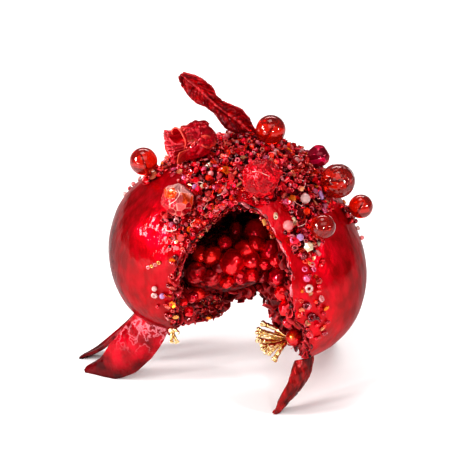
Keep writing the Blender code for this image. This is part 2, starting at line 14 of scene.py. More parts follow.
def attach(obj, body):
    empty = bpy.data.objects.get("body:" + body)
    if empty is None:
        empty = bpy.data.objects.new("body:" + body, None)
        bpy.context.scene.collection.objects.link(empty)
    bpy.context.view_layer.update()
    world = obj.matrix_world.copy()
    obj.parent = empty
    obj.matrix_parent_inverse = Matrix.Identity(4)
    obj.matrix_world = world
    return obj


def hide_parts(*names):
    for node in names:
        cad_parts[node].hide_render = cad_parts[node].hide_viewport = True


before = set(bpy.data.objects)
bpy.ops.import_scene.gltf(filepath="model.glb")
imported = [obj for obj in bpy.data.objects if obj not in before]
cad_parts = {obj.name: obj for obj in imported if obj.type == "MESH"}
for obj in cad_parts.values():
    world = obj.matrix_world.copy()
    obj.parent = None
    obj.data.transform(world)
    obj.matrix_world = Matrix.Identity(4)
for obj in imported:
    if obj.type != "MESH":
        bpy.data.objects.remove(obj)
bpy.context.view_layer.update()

MM = 0.001

# The fruit: its blended lobes, its arch-shaped opening front and back, the hollow and its mound of berries.
CENTRE = np.array([10.1, 3.0, 68.0])
LOBES = (
    ((0.0, 0.0, 7.0), (42.5, 40.0, 39.0)),
    ((-31.2, 3.0, -4.5), (27.0, 34.0, 33.0)),
    ((20.8, -5.0, -13.0), (33.8, 37.0, 37.2)),
)
BLEND = 6.0
TILT = math.radians(28)
FRONT_ARCH = (
    (-31, -80), (-28.8, -33), (-28.3, -16), (-27, -8), (-22.2, -0.7), (-16, 7.3), (-7.9, 15),
    (-0.4, 17.4), (5.8, 15.6), (10.2, 11.4), (15.7, 0.8), (20.2, -9.3), (20.8, -18),
    (22.7, -30.7), (28.6, -38.6), (31, -80),
)
BACK_ARCH = (
    (-34, -80), (-29, -42), (-22, -39.8), (-16.4, -38.6), (-12.6, -32.6), (-6, -26.2),
    (2.3, -22.6), (10.4, -19), (11.9, -23), (14, -28.8), (16.4, -33), (19.2, -40), (24.5, -45),
    (27.5, -52), (29, -80),
)
FRONT_DEPTH = -8.0
BACK_DEPTH = 16.0
CAVITY_AT = (-3.0, -4.0, -6.0)
CAVITY_RADII = (33.0, 24.0, 29.0)
MOUND_AT = (-3.0, -6.2, 8.0)
MOUND_RADII = (26.5, 13.8, 14.0)
MOUND_ROLL = math.radians(17)
# Across, up and radius.
BERRIES = (
    (-4, -7.5, 5.3), (6.2, 5.7, 5.0), (1.2, -1.4, 3.5), (7, 0.9, 3.5), (-2.2, 6.6, 2.9),
    (12.8, -1.8, 3.9), (-12.8, -4, 3.5), (15.6, -13.6, 4.0), (-19.8, -12, 4.2), (-12.8, -14, 3.0),
    (4.8, -6.5, 3.2), (-9.4, -9.5, 2.7), (-25, -20.5, 2.7), (-19.6, -21.5, 3.0), (10.4, -7.8, 2.9),
    (-0.4, -14, 2.7), (-6.2, -16, 2.6), (5, -12.5, 2.8), (10, -13.5, 2.6), (-7.5, 1, 2.6), (-18, -4, 2.7),
    (14, 5, 2.6),
)
FOIL_BERRIES = (8, 9, 7)
BERRY_TONES = (
    (0.85, 0.0, 0.01), (0.6, 0.0, 0.014), (0.9, 0.004, 0.008), (0.75, 0.0, 0.008), (0.35, 0.002, 0.01),
    (0.85, 0.0, 0.02), (0.9, 0.01, 0.006),
)
# Across, up, depth and radius of the lumps on the hollow's right and left walls.
WALL_BERRIES = (
    (15.6, -6.5, -14, 3.4), (16.2, -13.5, -15, 3.7), (17.4, -20.5, -16, 3.2), (18.6, -27, -18, 3.0),
    (-21.5, -22.5, -12, 2.6), (-25, -24.5, -15, 1.9), (-22.5, -28.5, -15, 2.1), (19.8, -33, -18, 2.2),
)
# The crust seen from the front: its outline, then where beads are strewn more thinly.
CRUST_OUTLINE = (
    (-29.7, 32.3), (-19.6, 28.8), (-18.3, 22.2), (-17.4, 16.5), (-14.3, 10.8), (-15.2, 7.3), (-22.2, 5.9),
    (-29.3, 8.1), (-30.1, 3.7), (-26.2, -1.1), (-20.9, -5.9), (-17.4, -3.3), (-12.1, 2.0), (-7.7, 6.4),
    (-3.3, 8.6), (1.5, 10.8), (2.4, 13.9), (2.0, 18.7), (7.7, 14.7), (13.9, 13.4), (22.2, 14.3),
    (24.9, 9.9), (27.5, 5.1), (24.9, 0.7), (25.3, -5.1), (30.1, -10.3), (35.9, -9.5), (37.2, -4.2),
    (35.4, 1.1), (38.5, 7.7), (44.2, 9.5), (45.5, 13.9), (43.8, 22.2), (41.1, 31.0), (35.9, 39.8),
    (24.0, 45.1), (4.2, 48.6), (-8.1, 46.9), (-17.8, 39.8),
)
TRAILS = (
    ((-30.3, 31.0), (-19.6, 28.4), (-16.9, 13.4), (-22.1, 19.6), (-26.0, 22.9), (-29.2, 26.0)),
    (
        (-27.1, 0.2), (-19.6, -5.5), (-19.6, -13.9), (-22.7, -27.1), (-24.0, -33.2), (-20.5, -39.4),
        (-27.5, -39.8), (-29.3, -30.6), (-25.7, -16.5), (-27.5, -5.9),
    ),
    (
        (24.4, 1.1), (31.5, -1.5), (40.3, -2.4), (40.7, -13.9), (38.5, -26.2), (43.8, -38.5),
        (40.3, -48.2), (28.8, -43.8), (30.6, -30.6), (31.9, -19.6), (28.8, -8.6),
    ),
)
# The crust where the front doesn't show it: azimuth, elevation and reach of round patches.
BACK_PATCHES = (
    (-33, 64, 20), (53, 68, 22), (67, 43, 10), (82, 26, 7), (180, 68, 27), (150, 48, 14), (-140, 50, 15),
    (-95, 62, 9),
)
# Single beads by kind: right and up from the view's middle, radius and colour.
SINGLES = {
    "ring": (
        (-40.9, 23.1, 1.2, "clear"), (-44.4, 18.5, 1.0, "red"), (49.9, 12.5, 1.1, "amber"),
        (53.0, 9.5, 1.1, "red"), (57.0, 1.1, 1.1, "clear"), (-33.2, -28.2, 1.4, "clear"),
        (-31.9, -33.2, 0.9, "red"), (-35.9, -16.1, 0.9, "blush"), (-34.3, -15.6, 0.9, "amber"),
        (-32.8, -15.0, 0.9, "blush"), (-31.2, -14.1, 0.9, "amber"), (37.6, 13.9, 2.0, "lilac"),
        (40.3, 8.6, 1.6, "pink"), (32.3, -16.9, 1.3, "pink"), (36.3, -16.9, 1.3, "pink"),
        (34.1, -25.3, 1.8, "clear"), (33.2, -32.8, 1.7, "wine"), (35.4, -37.6, 1.9, "wine"),
        (26.6, -4.2, 1.5, "pink"),
    ),
    "round": (
        (-43.1, 20.5, 1.1, "blush"), (-46.2, 15.8, 1.1, "clear"), (54.8, 6.8, 1.2, "red"),
        (55.9, 4.2, 1.2, "wine"), (58.1, -3.3, 1.1, "blush"), (-33.2, -25.3, 1.2, "clear"),
        (-29.7, -28.4, 1.3, "lilac"), (24.9, 2.0, 2.3, "blush"), (31.0, 12.5, 2.2, "clear"),
        (31.5, -11.2, 1.7, "wine"), (33.2, -20.9, 1.7, "pink"), (-14.7, 17.8, 1.2, "lilac"),
        (-20.0, 22.7, 1.3, "pink"), (29.3, -3.3, 1.6, "lilac"),
    ),
    "bugle": (
        (27.5, 4.2, 1.3, "cream"), (19.6, 6.2, 1.5, "cream"), (14.7, 3.5, 1.3, "amber"),
        (34.1, -13.9, 1.1, "amber"), (38.1, -9.9, 1.3, "blush"),
    ),
    "crystal": (
        (32.8, -7.3, 2.3, "cream"), (-8.6, 26.6, 1.3, "cream"), (-11.4, 18.0, 1.2, "cream"),
        (38.5, -5.9, 1.2, "cream"),
    ),
    "sequin": (
        (-25.3, -31.9, 1.5, "orange"), (-24.0, -37.2, 1.5, "amber"), (23.5, 12.1, 2.0, "pink"),
        (31.5, -26.2, 1.1, "orange"), (41.6, -33.7, 1.4, "orange"), (-1.5, 24.0, 2.2, "orange"),
        (-24.4, 26.4, 1.4, "pink"),
    ),
}
SEE_THROUGH = ("clear", "blush", "lilac", "cream")

# What sits on the crust: azimuth, elevation and radius, then the bud, the leaf, the feet and the stamens.
BED_TOP = 1.75
GAP = 0.35
GLASS_BEADS = ((-93, 41.4, 6.0), (112, 75.6, 6.4), (73, 40.8, 7.3), (82, 22.3, 5.2), (46, 28.8, 5.3))
CRINKLED_BEADS = ((16, 58, 8.3), (-43, 43, 7.2), (93.5, 51.5, 4.9))
BUD_SEAT = (-78, 67.5, 7.8)
BUD_WAY = (-0.95, -0.3, 0.0)
BUD_RISE = 0.22
BUD_LENGTH = 21.0
BUD_PROFILE = (
    (0.0, 1.6), (0.07, 4.2), (0.2, 6.6), (0.38, 7.6), (0.58, 7.6), (0.76, 7.0), (0.9, 7.3), (1.0, 8.0),
    (0.97, 6.4), (0.8, 4.4), (0.62, 1.8),
)
LEAF_SPINE = (
    (7.2, 9.5, 47.6), (1.5, 10, 52), (-6, 10, 58.2), (-12, 10, 63.2), (-18, 10, 69), (-25.5, 10, 76),
)
LEAF_SIDES = (
    (0.6, -0.3, 0.75), (0.6, -0.3, 0.75), (0.6, 0.2, 0.75), (0.45, -0.3, 0.8), (0.6, -0.2, 0.75),
)
LEAF_HALVES = (0.8, 2.6, 4.8, 5.8, 4.6, 3.2, 3.6, 5.4, 5.6, 4.6, 1.6)
CALYX_LOBES = {
    "calyx_lobe_near": (
        ((-36, -6, -28), (-42, -5.5, -41), (-50, -4, -52.5), (-60, -1, -63), (-71.5, 3, -68)),
        ((0.8, -0.45, -0.3), (0.8, -0.45, -0.35), (0.8, -0.4, -0.4), (0.75, -0.4, -0.5)),
        (8.0, 8.8, 9.2, 8.6, 5.8, 1.2),
    ),
    "calyx_lobe_far": (
        ((-40, 9, -29), (-48, 12, -41.5), (-58, 14, -53.8), (-67, 14.8, -62.6), (-76, 14.4, -68)),
        ((0.3, 0.9, 0.0), (0.25, 0.9, -0.1), (0.2, 0.9, -0.2)),
        (8.0, 8.8, 8.5, 7.2, 5.0, 1.2),
    ),
    "calyx_lobe_front": (
        ((26.5, -14, -40), (28, -19, -46), (25, -25, -53.5), (19.4, -29, -61), (15, -30.5, -68.5)),
        ((0.6, 0.8, 0.0), (0.6, 0.8, 0.0), (0.65, 0.75, 0.0)),
        (4.6, 5.4, 7.2, 7.2, 4.8, 1.1),
    ),
    "calyx_lobe_back": (
        ((28, 8, -40), (33, 16, -46), (38, 24, -54), (42, 29, -61), (44, 31, -68.5)),
        ((0.85, -0.5, 0.1), (0.85, -0.5, 0.1), (0.8, -0.5, 0.2)),
        (8.5, 8.5, 7.5, 6.0, 4.0, 1.2),
    ),
}
LOBE_CUP = 0.32
STAMENS = {
    "stamens_right": (
        (21.7, -41.5, 4.6), 3.2,
        (
            (9.5, -34.6, 2), (7.3, -37.6, 1), (7.3, -41.8, 0), (10.4, -46.6, 0), (14.6, -50.4, 1),
            (8.4, -39.6, 6), (9.0, -44.2, -5), (12.4, -48, 6),
        ),
        1.15,
    ),
    "stamens_left": (
        (-30, -36.8, -9.7), 1.9, ((-27.2, -37.8, -11), (-27.8, -42.3, -8), (-30.2, -41.8, -10)), 0.75,
    ),
}
CROWN_BEAD_AT = (23.3, -40.4, -3.5)
CROWN_BEAD_RADIUS = 4.0

# The camera of the photograph: it looks along +Y and down.
PIXELS = 461
PIXEL = 0.44
VIEW_DISTANCE = 620.0
VIEW_RIGHT = np.array([1.0, 0.0, 0.0])
VIEW_UP = np.array([0.0, math.sin(TILT), math.cos(TILT)])
VIEW_BACK = np.array([0.0, -math.cos(TILT), math.sin(TILT)])
VIEW_TARGET = -4.62 * VIEW_RIGHT + 6.38 * VIEW_UP
OPENING_AXES = np.array([VIEW_RIGHT, VIEW_UP, -VIEW_BACK])
FACES_FRONT = 0.04
# How deep under the skin the torn inside starts, how low the crust can reach, and the bed under each ball.
INSIDE_FROM = 1.1
LOWEST_CRUST = -0.45
PAD_SHARE = 0.75


# Shapes of the fruit, from its centre


def smooth_through(points, count):
    """count points, evenly spaced along a Catmull-Rom curve through the given ones."""
    knots = np.array([points[0], *points, points[-1]], float)
    fine = []
    for a, b, c, d in zip(knots, knots[1:], knots[2:], knots[3:]):
        for t in np.linspace(0, 1, 16, endpoint=False):
            bend = (2 * a - 5 * b + 4 * c - d) * t**2 + (3 * b - a - 3 * c + d) * t**3
            fine.append(0.5 * (2 * b + (c - a) * t + bend))
    fine.append(knots[-1])
    fine = np.array(fine)
    along = np.concatenate([[0], np.cumsum(np.linalg.norm(np.diff(fine, axis=0), axis=1))])
    wanted = np.linspace(0, along[-1], count)
    return np.stack([np.interp(wanted, along, fine[:, i]) for i in range(fine.shape[1])], axis=1)


def skin_field(points):
    """Below 0 inside the fruit, above 0 outside it."""
    levels = [
        (np.linalg.norm((points - np.array(at)) / radii, axis=1) - 1) * min(radii) for at, radii in LOBES
    ]
    return -BLEND * np.log(sum(np.exp(-level / BLEND) for level in levels))


def skin_radius(ways):
    low = np.full(len(ways), 5.0)
    high = np.full(len(ways), 90.0)
    for _ in range(26):
        middle = (low + high) / 2
        inside = skin_field(ways * middle[:, None]) < 0
        low = np.where(inside, middle, low)
        high = np.where(inside, high, middle)
    return (low + high) / 2


def skin_normals(points, step=0.5):
    slope = [skin_field(points + offset) - skin_field(points - offset) for offset in np.eye(3) * step]
    return unit_rows(np.stack(slope, axis=1))


def unit(vector):
    return np.asarray(vector, float) / np.linalg.norm(vector)


def unit_rows(vectors):
    return vectors / np.linalg.norm(vectors, axis=1)[:, None]


def on_skin(way):
    """The skin's point that way from the centre and its normal."""
    point = np.array([way])
    point = point * skin_radius(point)[:, None]
    return point[0], skin_normals(point)[0]


def seat(azimuth, elevation):
    """The skin's point in that direction and its normal."""
    a, e = math.radians(azimuth), math.radians(elevation)
    return on_skin((math.sin(a) * math.cos(e), -math.cos(a) * math.cos(e), math.sin(e)))


def over_bed(azimuth, elevation, rise):
    """A point that far over the crust's bed, and the way out from the skin there."""
    point, normal = seat(azimuth, elevation)
    return point + normal * (BED_TOP + GAP + rise), normal


def opening_point(across, up, deep):
    return np.array([across, up, deep]) @ OPENING_AXES


def noises(points, scale, shift=0.0):
    """Smooth noise from -1 to 1 at each point. scale is per millimetre, one number or three."""
    scaled = np.asarray(points) * scale + shift
    return np.array([wave(*at) for at in scaled]) * 1.6


def wave(*at):
    """Smooth noise at one place, from about -1 to 1."""
    return noise.noise(Vector(at))


def creases(points, scale, shift=0.0):
    """0 along sharp creases, up to 1 between them, like crumpled foil."""
    one = np.abs(noises(points, scale, shift))
    two = np.abs(noises(points, np.asarray(scale) * 2.3, shift + 9.0))
    return np.clip(one * 0.75 + two * 0.35, 0, 1)


def seen(points):
    """Where each point shows from the front, in millimetres right of and above the view's middle."""
    towards = points - VIEW_TARGET
    share = VIEW_DISTANCE / (VIEW_DISTANCE - towards @ VIEW_BACK)
    return np.stack([towards @ VIEW_RIGHT * share, towards @ VIEW_UP * share], axis=1)


def skin_at(right, up):
    """The skin's point that shows there from the front, or the nearest to it, and its normal."""
    eye = VIEW_TARGET + VIEW_DISTANCE * VIEW_BACK
    way = unit(VIEW_TARGET + right * VIEW_RIGHT + up * VIEW_UP - eye)
    line = eye + way * np.arange(VIEW_DISTANCE - 80, VIEW_DISTANCE + 70, 0.2)[:, None]
    field = skin_field(line)
    hit = np.argmax(field < 0) if field.min() < 0 else np.argmin(field)
    return on_skin(unit(line[hit]))


def beyond_outline(here, outline):
    """Distance outside the closed outline, below 0 inside it."""
    corners = np.array(outline, float)
    nearest = np.full(len(here), 1e9)
    inside = np.zeros(len(here), bool)
    for a, b in zip(corners, np.roll(corners, -1, axis=0)):
        along = np.clip((here - a) @ (b - a) / ((b - a) @ (b - a)), 0, 1)
        nearest = np.minimum(nearest, np.linalg.norm(here - a - along[:, None] * (b - a), axis=1))
        crosses = (a[1] > here[:, 1]) != (b[1] > here[:, 1])
        at = a[0] + (here[:, 1] - a[1]) / (b[1] - a[1] + 1e-9) * (b[0] - a[0])
        inside ^= crosses & (here[:, 0] < at)
    return np.where(inside, -nearest, nearest)


def crust_edge(points):
    """Distance beyond the crust's edge, below 0 on the crust."""
    front = beyond_outline(seen(points), CRUST_OUTLINE)
    back = np.min([round_patch(points, *patch) for patch in BACK_PATCHES], axis=0)
    edge = np.where(skin_normals(points) @ VIEW_BACK > FACES_FRONT, front, back)
    balls = (*GLASS_BEADS, *CRINKLED_BEADS)
    pads = [round_patch(points, *where, PAD_SHARE * radius) for *where, radius in balls]
    return np.min([edge, *pads], axis=0)


def round_patch(points, azimuth, elevation, reach):
    """Distance beyond a round patch of the skin."""
    return np.linalg.norm(points - seat(azimuth, elevation)[0], axis=1) - reach


def above_opening(points):
    """How far above the arch's edge each point is, and a large number behind the opening."""
    arch = smooth_through(FRONT_ARCH, 120)
    edge = np.interp(points[:, 0], arch[:, 0], arch[:, 1], left=-90, right=-90)
    return np.where(points @ VIEW_BACK > 0, points @ VIEW_UP - edge, 99.0)


# Meshes


def place(points):
    return (np.asarray(points) + CENTRE) * MM


def linked(name, data):
    obj = bpy.data.objects.new(name, data)
    bpy.context.scene.collection.objects.link(obj)
    return obj


def bare_object(name, points, faces):
    """An object from points in millimetres, its faces pointing out."""
    mesh = bpy.data.meshes.new(name)
    mesh.from_pydata(place(points).tolist(), [], [list(face) for face in faces])
    face_out(mesh)
    return linked(name, mesh)


def new_piece(name, points, faces, finish, replaced=(), slot=None, smooth=True, tints=None, thick=0.0):
    """A piece that rides on the ornament's one body. thick makes a sheet solid."""
    obj = bare_object(name, points, faces)
    if tints is not None:
        layer = obj.data.color_attributes.new("tint", "FLOAT_COLOR", "POINT")
        solid = np.insert(np.clip(tints, 0, 1), 3, 1.0, axis=1)
        layer.data.foreach_set("color", solid.astype(np.float32).ravel())
    obj.data.materials.append(finish)
    if thick:
        solidify(obj, thick)
    if smooth:
        obj.data.shade_smooth()
    return settle(obj, replaced)


def settle(obj, replaced=()):
    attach(obj, "root")
    if replaced:
        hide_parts(*replaced)
    return obj


def apply_modifiers(obj):
    bpy.context.view_layer.update()
    graph = bpy.context.evaluated_depsgraph_get()
    mesh = bpy.data.meshes.new_from_object(obj.evaluated_get(graph))
    obj.modifiers.clear()
    obj.data = mesh


def solidify(obj, thickness, offset=0.0):
    step = obj.modifiers.new("thickness", "SOLIDIFY")
    step.thickness = thickness * MM
    step.offset = offset
    apply_modifiers(obj)


def face_out(mesh):
    bm = bmesh.new()
    bm.from_mesh(mesh)
    bmesh.ops.recalc_face_normals(bm, faces=bm.faces)
    bm.to_mesh(mesh)
    bm.free()


def cut(obj, cutter):
    face_out(obj.data)
    step = obj.modifiers.new("cut", "BOOLEAN")
    step.operation = "DIFFERENCE"
    step.solver = "EXACT"
    step.object = cutter
    apply_modifiers(obj)
    bpy.data.objects.remove(cutter)


def around(count):
    """Angles evenly round a full turn."""
    return [2 * math.pi * i / count for i in range(count)]


def grid_faces(rows, columns, wrap=False):
    faces = []
    for i in range(rows - 1):
        for j in range(columns if wrap else columns - 1):
            k = (j + 1) % columns
            faces.append((i * columns + j, i * columns + k, (i + 1) * columns + k, (i + 1) * columns + j))
    return faces


def tube_faces(rows, columns):
    """Faces of a closed tube of rings."""
    last = (rows - 1) * columns
    ends = [tuple(range(columns))[::-1], tuple(range(last, last + columns))]
    return grid_faces(rows, columns, wrap=True) + ends


def sphere_grid(columns, rows):
    """Points of a unit sphere, poles last, with its faces."""
    points = []
    for i in range(1, rows):
        polar = math.pi * i / rows
        ring, height = math.sin(polar), math.cos(polar)
        points += [(math.cos(turn) * ring, math.sin(turn) * ring, height) for turn in around(columns)]
    faces = [face[::-1] for face in grid_faces(rows - 1, columns, wrap=True)]
    top, bottom = len(points), len(points) + 1
    last = (rows - 2) * columns
    for j in range(columns):
        k = (j + 1) % columns
        faces.append((top, j, k))
        faces.append((bottom, last + k, last + j))
    points += [(0, 0, 1), (0, 0, -1)]
    return np.array(points, float), faces


def icosphere(fineness):
    bm = bmesh.new()
    bmesh.ops.create_icosphere(bm, subdivisions=fineness, radius=1)
    points = np.array([tuple(vert.co) for vert in bm.verts])
    faces = [tuple(vert.index for vert in face.verts) for face in bm.faces]
    bm.free()
    return points, faces


def lathe(profile, sides):
    """A ring whose cross section is the closed profile of (radius, height)."""
    points = []
    for turn in around(sides):
        points += [(r * math.cos(turn), r * math.sin(turn), h) for r, h in profile]
    count = len(profile)
    faces = []
    for i in range(sides):
        for j in range(count):
            k, n = (j + 1) % count, (i + 1) % sides
            faces.append((i * count + j, n * count + j, n * count + k, i * count + k))
    return np.array(points, float), faces


def sequin_shape():
    """A six-sided cupped disc of radius 1."""
    points, faces = [], []
    for height in (0.09, -0.09):
        for reach, rise in ((1.0, 0.12), (0.45, -0.1)):
            for turn in around(6):
                points.append((reach * math.cos(turn), reach * math.sin(turn), height + rise))
    for i in range(6):
        j = (i + 1) % 6
        faces.append((i, j, 6 + j, 6 + i))
        faces.append((12 + j, 12 + i, 18 + i, 18 + j))
        faces.append((j, i, 12 + i, 12 + j))
    faces.append((6, 7, 8, 9, 10, 11))
    faces.append((23, 22, 21, 20, 19, 18))
    return np.array(points, float), faces


def turns_about(normals, rng, tilt):
    """A random turn for each normal that keeps the shape's own Z within tilt of it, as 3 x 3 matrices."""
    up = unit_rows(normals + rng.normal(size=normals.shape) * tilt)
    side = unit_rows(np.cross(up, rng.normal(size=normals.shape)))
    return np.stack([side, np.cross(up, side), up], axis=2)


def heap(name, shape, at, turns, sizes, tints, finish, painted_light=None, **options):
    """One piece made of a copy of the shape at each place, with its own turn, size and tint."""
    points, faces = shape
    sizes = np.broadcast_to(np.asarray(sizes, float).reshape(len(at), -1), (len(at), 3))
    spots = np.einsum("nij,nkj->nki", turns, points[None] * sizes[:, None]) + at[:, None]
    count = len(points)
    every = [[index + i * count for index in face] for i in range(len(at)) for face in faces]
    colours = np.repeat(tints, count, axis=0)
    # painted_light multiplies each copy's colours point by point: painted highlight or shade on the shape.
    if painted_light is not None:
        colours = colours * np.tile(painted_light, (len(at), 1))
    return new_piece(name, spots.reshape(-1, 3), every, finish, tints=colours, **options)


def tube(line, radii, sides=8):
    """Points and faces of a closed tube along a line, with a radius at each point."""
    line = np.asarray(line, float)
    ahead = unit_rows(np.gradient(line, axis=0))
    side = np.cross(ahead[0], (0.3, 0.2, 1.0))
    points = []
    for centre, way, radius in zip(line, ahead, radii):
        side = unit(side - way * (side @ way))
        other = np.cross(way, side)
        for turn in around(sides):
            points.append(centre + radius * (math.cos(turn) * side + math.sin(turn) * other))
    return np.array(points), tube_faces(len(line), sides)


def together(parts):
    """Several (points, faces) as one."""
    points, faces, start = [], [], 0
    for some, their in parts:
        points.append(some)
        faces += [tuple(index + start for index in face) for face in their]
        start += len(some)
    return np.concatenate(points), faces


def spread(points, spacing, rng):
    """Indices of points no nearer to each other than spacing, in random order."""
    cells = {}
    chosen = []
    for i in rng.permutation(len(points)):
        key = tuple((points[i] // spacing).astype(int))
        near = [
            j
            for dx in (-1, 0, 1) for dy in (-1, 0, 1) for dz in (-1, 0, 1)
            for j in cells.get((key[0] + dx, key[1] + dy, key[2] + dz), ())
        ]
        if all(np.dot(points[i] - points[j], points[i] - points[j]) > spacing**2 for j in near):
            cells.setdefault(key, []).append(i)
            chosen.append(i)
    return np.array(chosen, int)


# Materials

EDGE_TINT = (0.15, 0.005, 0.008)


def shader_of(made):
    return made.node_tree.nodes["Principled BSDF"]


def surface(name, colour, roughness, metallic=0.0, coat=0.0, clear=0.0, ior=1.5, gloss=0.5, coat_ior=1.3):
    """A material with a clear coat. Its metal darkens to red where it turns away."""
    made = bpy.data.materials.new(name)
    made.use_nodes = True
    for entry, value in {
        "Base Color": (*colour, 1.0), "Roughness": roughness, "Metallic": metallic,
        "Coat Weight": coat, "Coat Roughness": 0.04, "Coat IOR": coat_ior,
        "Specular IOR Level": gloss, "Specular Tint": (*EDGE_TINT, 1.0) if metallic else (1, 1, 1, 1),
        "Transmission Weight": clear, "IOR": ior,
    }.items():
        shader_of(made).inputs[entry].default_value = value
    return made


def node(made, kind, **settings):
    added = made.node_tree.nodes.new(kind)
    for key, value in settings.items():
        if key in added.inputs:
            added.inputs[key].default_value = value
        else:
            setattr(added, key, value)
    return added


def join(output, target, entry):
    target.id_data.links.new(output, target.inputs[entry])


def ramp(made, factor, stops):
    added = node(made, "ShaderNodeValToRGB")
    elements = added.color_ramp.elements
    while len(elements) < len(stops):
        elements.new(0.5)
    for element, (position, colour) in zip(elements, stops):
        element.position = position
        element.color = (*colour, 1.0)
    join(factor, added, "Fac")
    return added.outputs["Color"]


def pattern(made, scale, stretch=(1, 1, 1), detail=4.0, cells=False):
    """Noise, or distance from the edges of random cells. scale is in cycles for each millimetre."""
    where = node(made, "ShaderNodeTexCoord")
    scaled = node(made, "ShaderNodeMapping", Scale=tuple(1000.0 * s for s in stretch))
    join(where.outputs["Object"], scaled, "Vector")
    if cells:
        source = node(made, "ShaderNodeTexVoronoi", Scale=scale, feature="DISTANCE_TO_EDGE")
    else:
        source = node(made, "ShaderNodeTexNoise", Scale=scale, Detail=detail)
    join(scaled.outputs["Vector"], source, "Vector")
    return source.outputs["Distance" if cells else "Fac"]


def mottle(made, stops, scale, stretch=(1, 1, 1), detail=4.0):
    """Colours the surface from noise."""
    join(ramp(made, pattern(made, scale, stretch, detail), stops), shader_of(made), "Base Color")


def bumps(made, scale, strength, height, detail=4.0, stretch=(1, 1, 1), cells=False):
    """Adds relief, height in millimetres, below whatever relief the material has."""
    relief = node(made, "ShaderNodeBump", Strength=strength, Distance=height * MM)
    join(pattern(made, scale, stretch, detail, cells), relief, "Height")
    before = shader_of(made).inputs["Normal"].links
    if before:
        join(before[0].from_socket, relief, "Normal")
    for entry in ("Normal", "Coat Normal"):
        join(relief.outputs["Normal"], shader_of(made), entry)


def tinted(made):
    """Takes the base colour from each piece's tint."""
    tint = node(made, "ShaderNodeAttribute", attribute_name="tint")
    join(tint.outputs["Color"], shader_of(made), "Base Color")
    return made


def over_base(made, mixed):
    """Puts a colour mix between what colours the surface and its shader."""
    before = shader_of(made).inputs["Base Color"].links[0].from_socket
    join(before, mixed, 6)
    join(mixed.outputs[2], shader_of(made), "Base Color")


def share_along(made, axis, low, high):
    """From 0 to 1 between two places along an axis, in millimetres."""
    where = node(made, "ShaderNodeTexCoord")
    parts = node(made, "ShaderNodeSeparateXYZ")
    share = node(made, "ShaderNodeMapRange", **{"From Min": low * MM, "From Max": high * MM})
    join(where.outputs["Object"], parts, "Vector")
    join(parts.outputs[axis], share, "Value")
    return share.outputs["Result"]


def painted_shade_along(made, axis, low, high, painted_light):
    """Paints shade along an axis: darkens the surface by (share of the way, brightness) pairs."""
    stops = tuple((share, (bright,) * 3) for share, bright in painted_light)
    mixed = node(made, "ShaderNodeMix", data_type="RGBA", blend_type="MULTIPLY", Factor=1.0)
    join(ramp(made, share_along(made, axis, low, high), stops), mixed, 7)
    over_base(made, mixed)


def painted_highlight_network(made, low, high):
    """A painted highlight: thin pale veins, from nothing at the low height to full at the high one."""
    stops = ((0.465, (0, 0, 0)), (0.5, (0.55, 0.55, 0.55)), (0.535, (0, 0, 0)))
    part = node(made, "ShaderNodeMath", operation="MULTIPLY")
    mixed = node(made, "ShaderNodeMix", data_type="RGBA")
    mixed.inputs[7].default_value = (0.95, 0.34, 0.4, 1.0)
    join(ramp(made, pattern(made, 0.16, detail=5.0), stops), part, 0)
    join(share_along(made, "Z", low, high), part, 1)
    join(part.outputs["Value"], mixed, 0)
    over_base(made, mixed)


def lacquer(name, tones, grain, stretch, relief):
    """Deep glossy red with faint streaks and a fine orange-peel relief under a clear coat."""
    made = surface(name, tones[1], 0.3, metallic=0.5, coat=0.28, gloss=0.0, coat_ior=1.55)
    mottle(made, tuple(zip((0.36, 0.5, 0.66), tones)), grain, stretch, 5.0)
    bumps(made, 0.11, 0.5, relief, 1.0, (1, 1, 0.45))
    bumps(made, 0.45, 0.5, relief * 0.3, 2.0, (1, 1, 0.4))
    return made


def foil(name, tones, metallic, roughness):
    """Crumpled shiny foil with light ridges."""
    made = surface(name, tones[1], roughness, metallic=metallic, coat=0.3, gloss=0.1)
    mottle(made, tuple(zip((0.35, 0.52, 0.7), tones)), 0.55, detail=5.0)
    bumps(made, 0.5, 0.6, 0.5, cells=True)
    bumps(made, 1.2, 0.5, 0.3)
    return made


def tinted_foil(name, roughness, metallic, fine):
    """Foil whose colours come from the piece, with fine wrinkles."""
    made = surface(name, (0.6, 0.004, 0.02), roughness, metallic, coat=0.28, gloss=0.0, coat_ior=1.7)
    bumps(made, 0.45, 0.4, 0.4, 2.0)
    bumps(made, fine, 0.35, 0.12, 2.0)
    return tinted(made)


RED_LACQUER = lacquer(
    "red_lacquer", ((0.4, 0.0, 0.003), (0.56, 0.0, 0.007), (0.72, 0.0, 0.014)), 0.22, (1, 1, 0.6), 1.5
)
# Painted shade: the skin darkens towards its left and right sides, and in a band left of the middle.
painted_shade_along(RED_LACQUER, "X", -48, 65, (
    (0.0, 0.2), (0.07, 0.45), (0.16, 0.64), (0.42, 0.46), (0.52, 0.95), (0.8, 1.0), (1.0, 0.45),
))
LOBE_LACQUER = lacquer(
    "lobe_lacquer", ((0.12, 0.0, 0.002), (0.3, 0.0, 0.005), (0.5, 0.0, 0.012)), 0.12, (1, 1, 1), 3.0
)
# Painted shade: the lobes darken towards their lower parts, near the floor.
painted_shade_along(LOBE_LACQUER, "Z", 0, 20, ((0.0, 0.3), (0.25, 0.42), (0.6, 0.9), (1.0, 1.0)))
# Painted highlight: a broken pale network over the lobes' upper part.
painted_highlight_network(LOBE_LACQUER, 16, 30)
FRONT_LOBE = lacquer(
    "front_lobe", ((0.09, 0.005, 0.004), (0.26, 0.008, 0.007), (0.44, 0.012, 0.014)), 0.3, (1, 1, 0.4), 3.5
)
TORN_INSIDE = foil("torn_inside", ((0.04, 0.0, 0.001), (0.2, 0.001, 0.004), (0.55, 0.014, 0.014)), 0.5, 0.3)
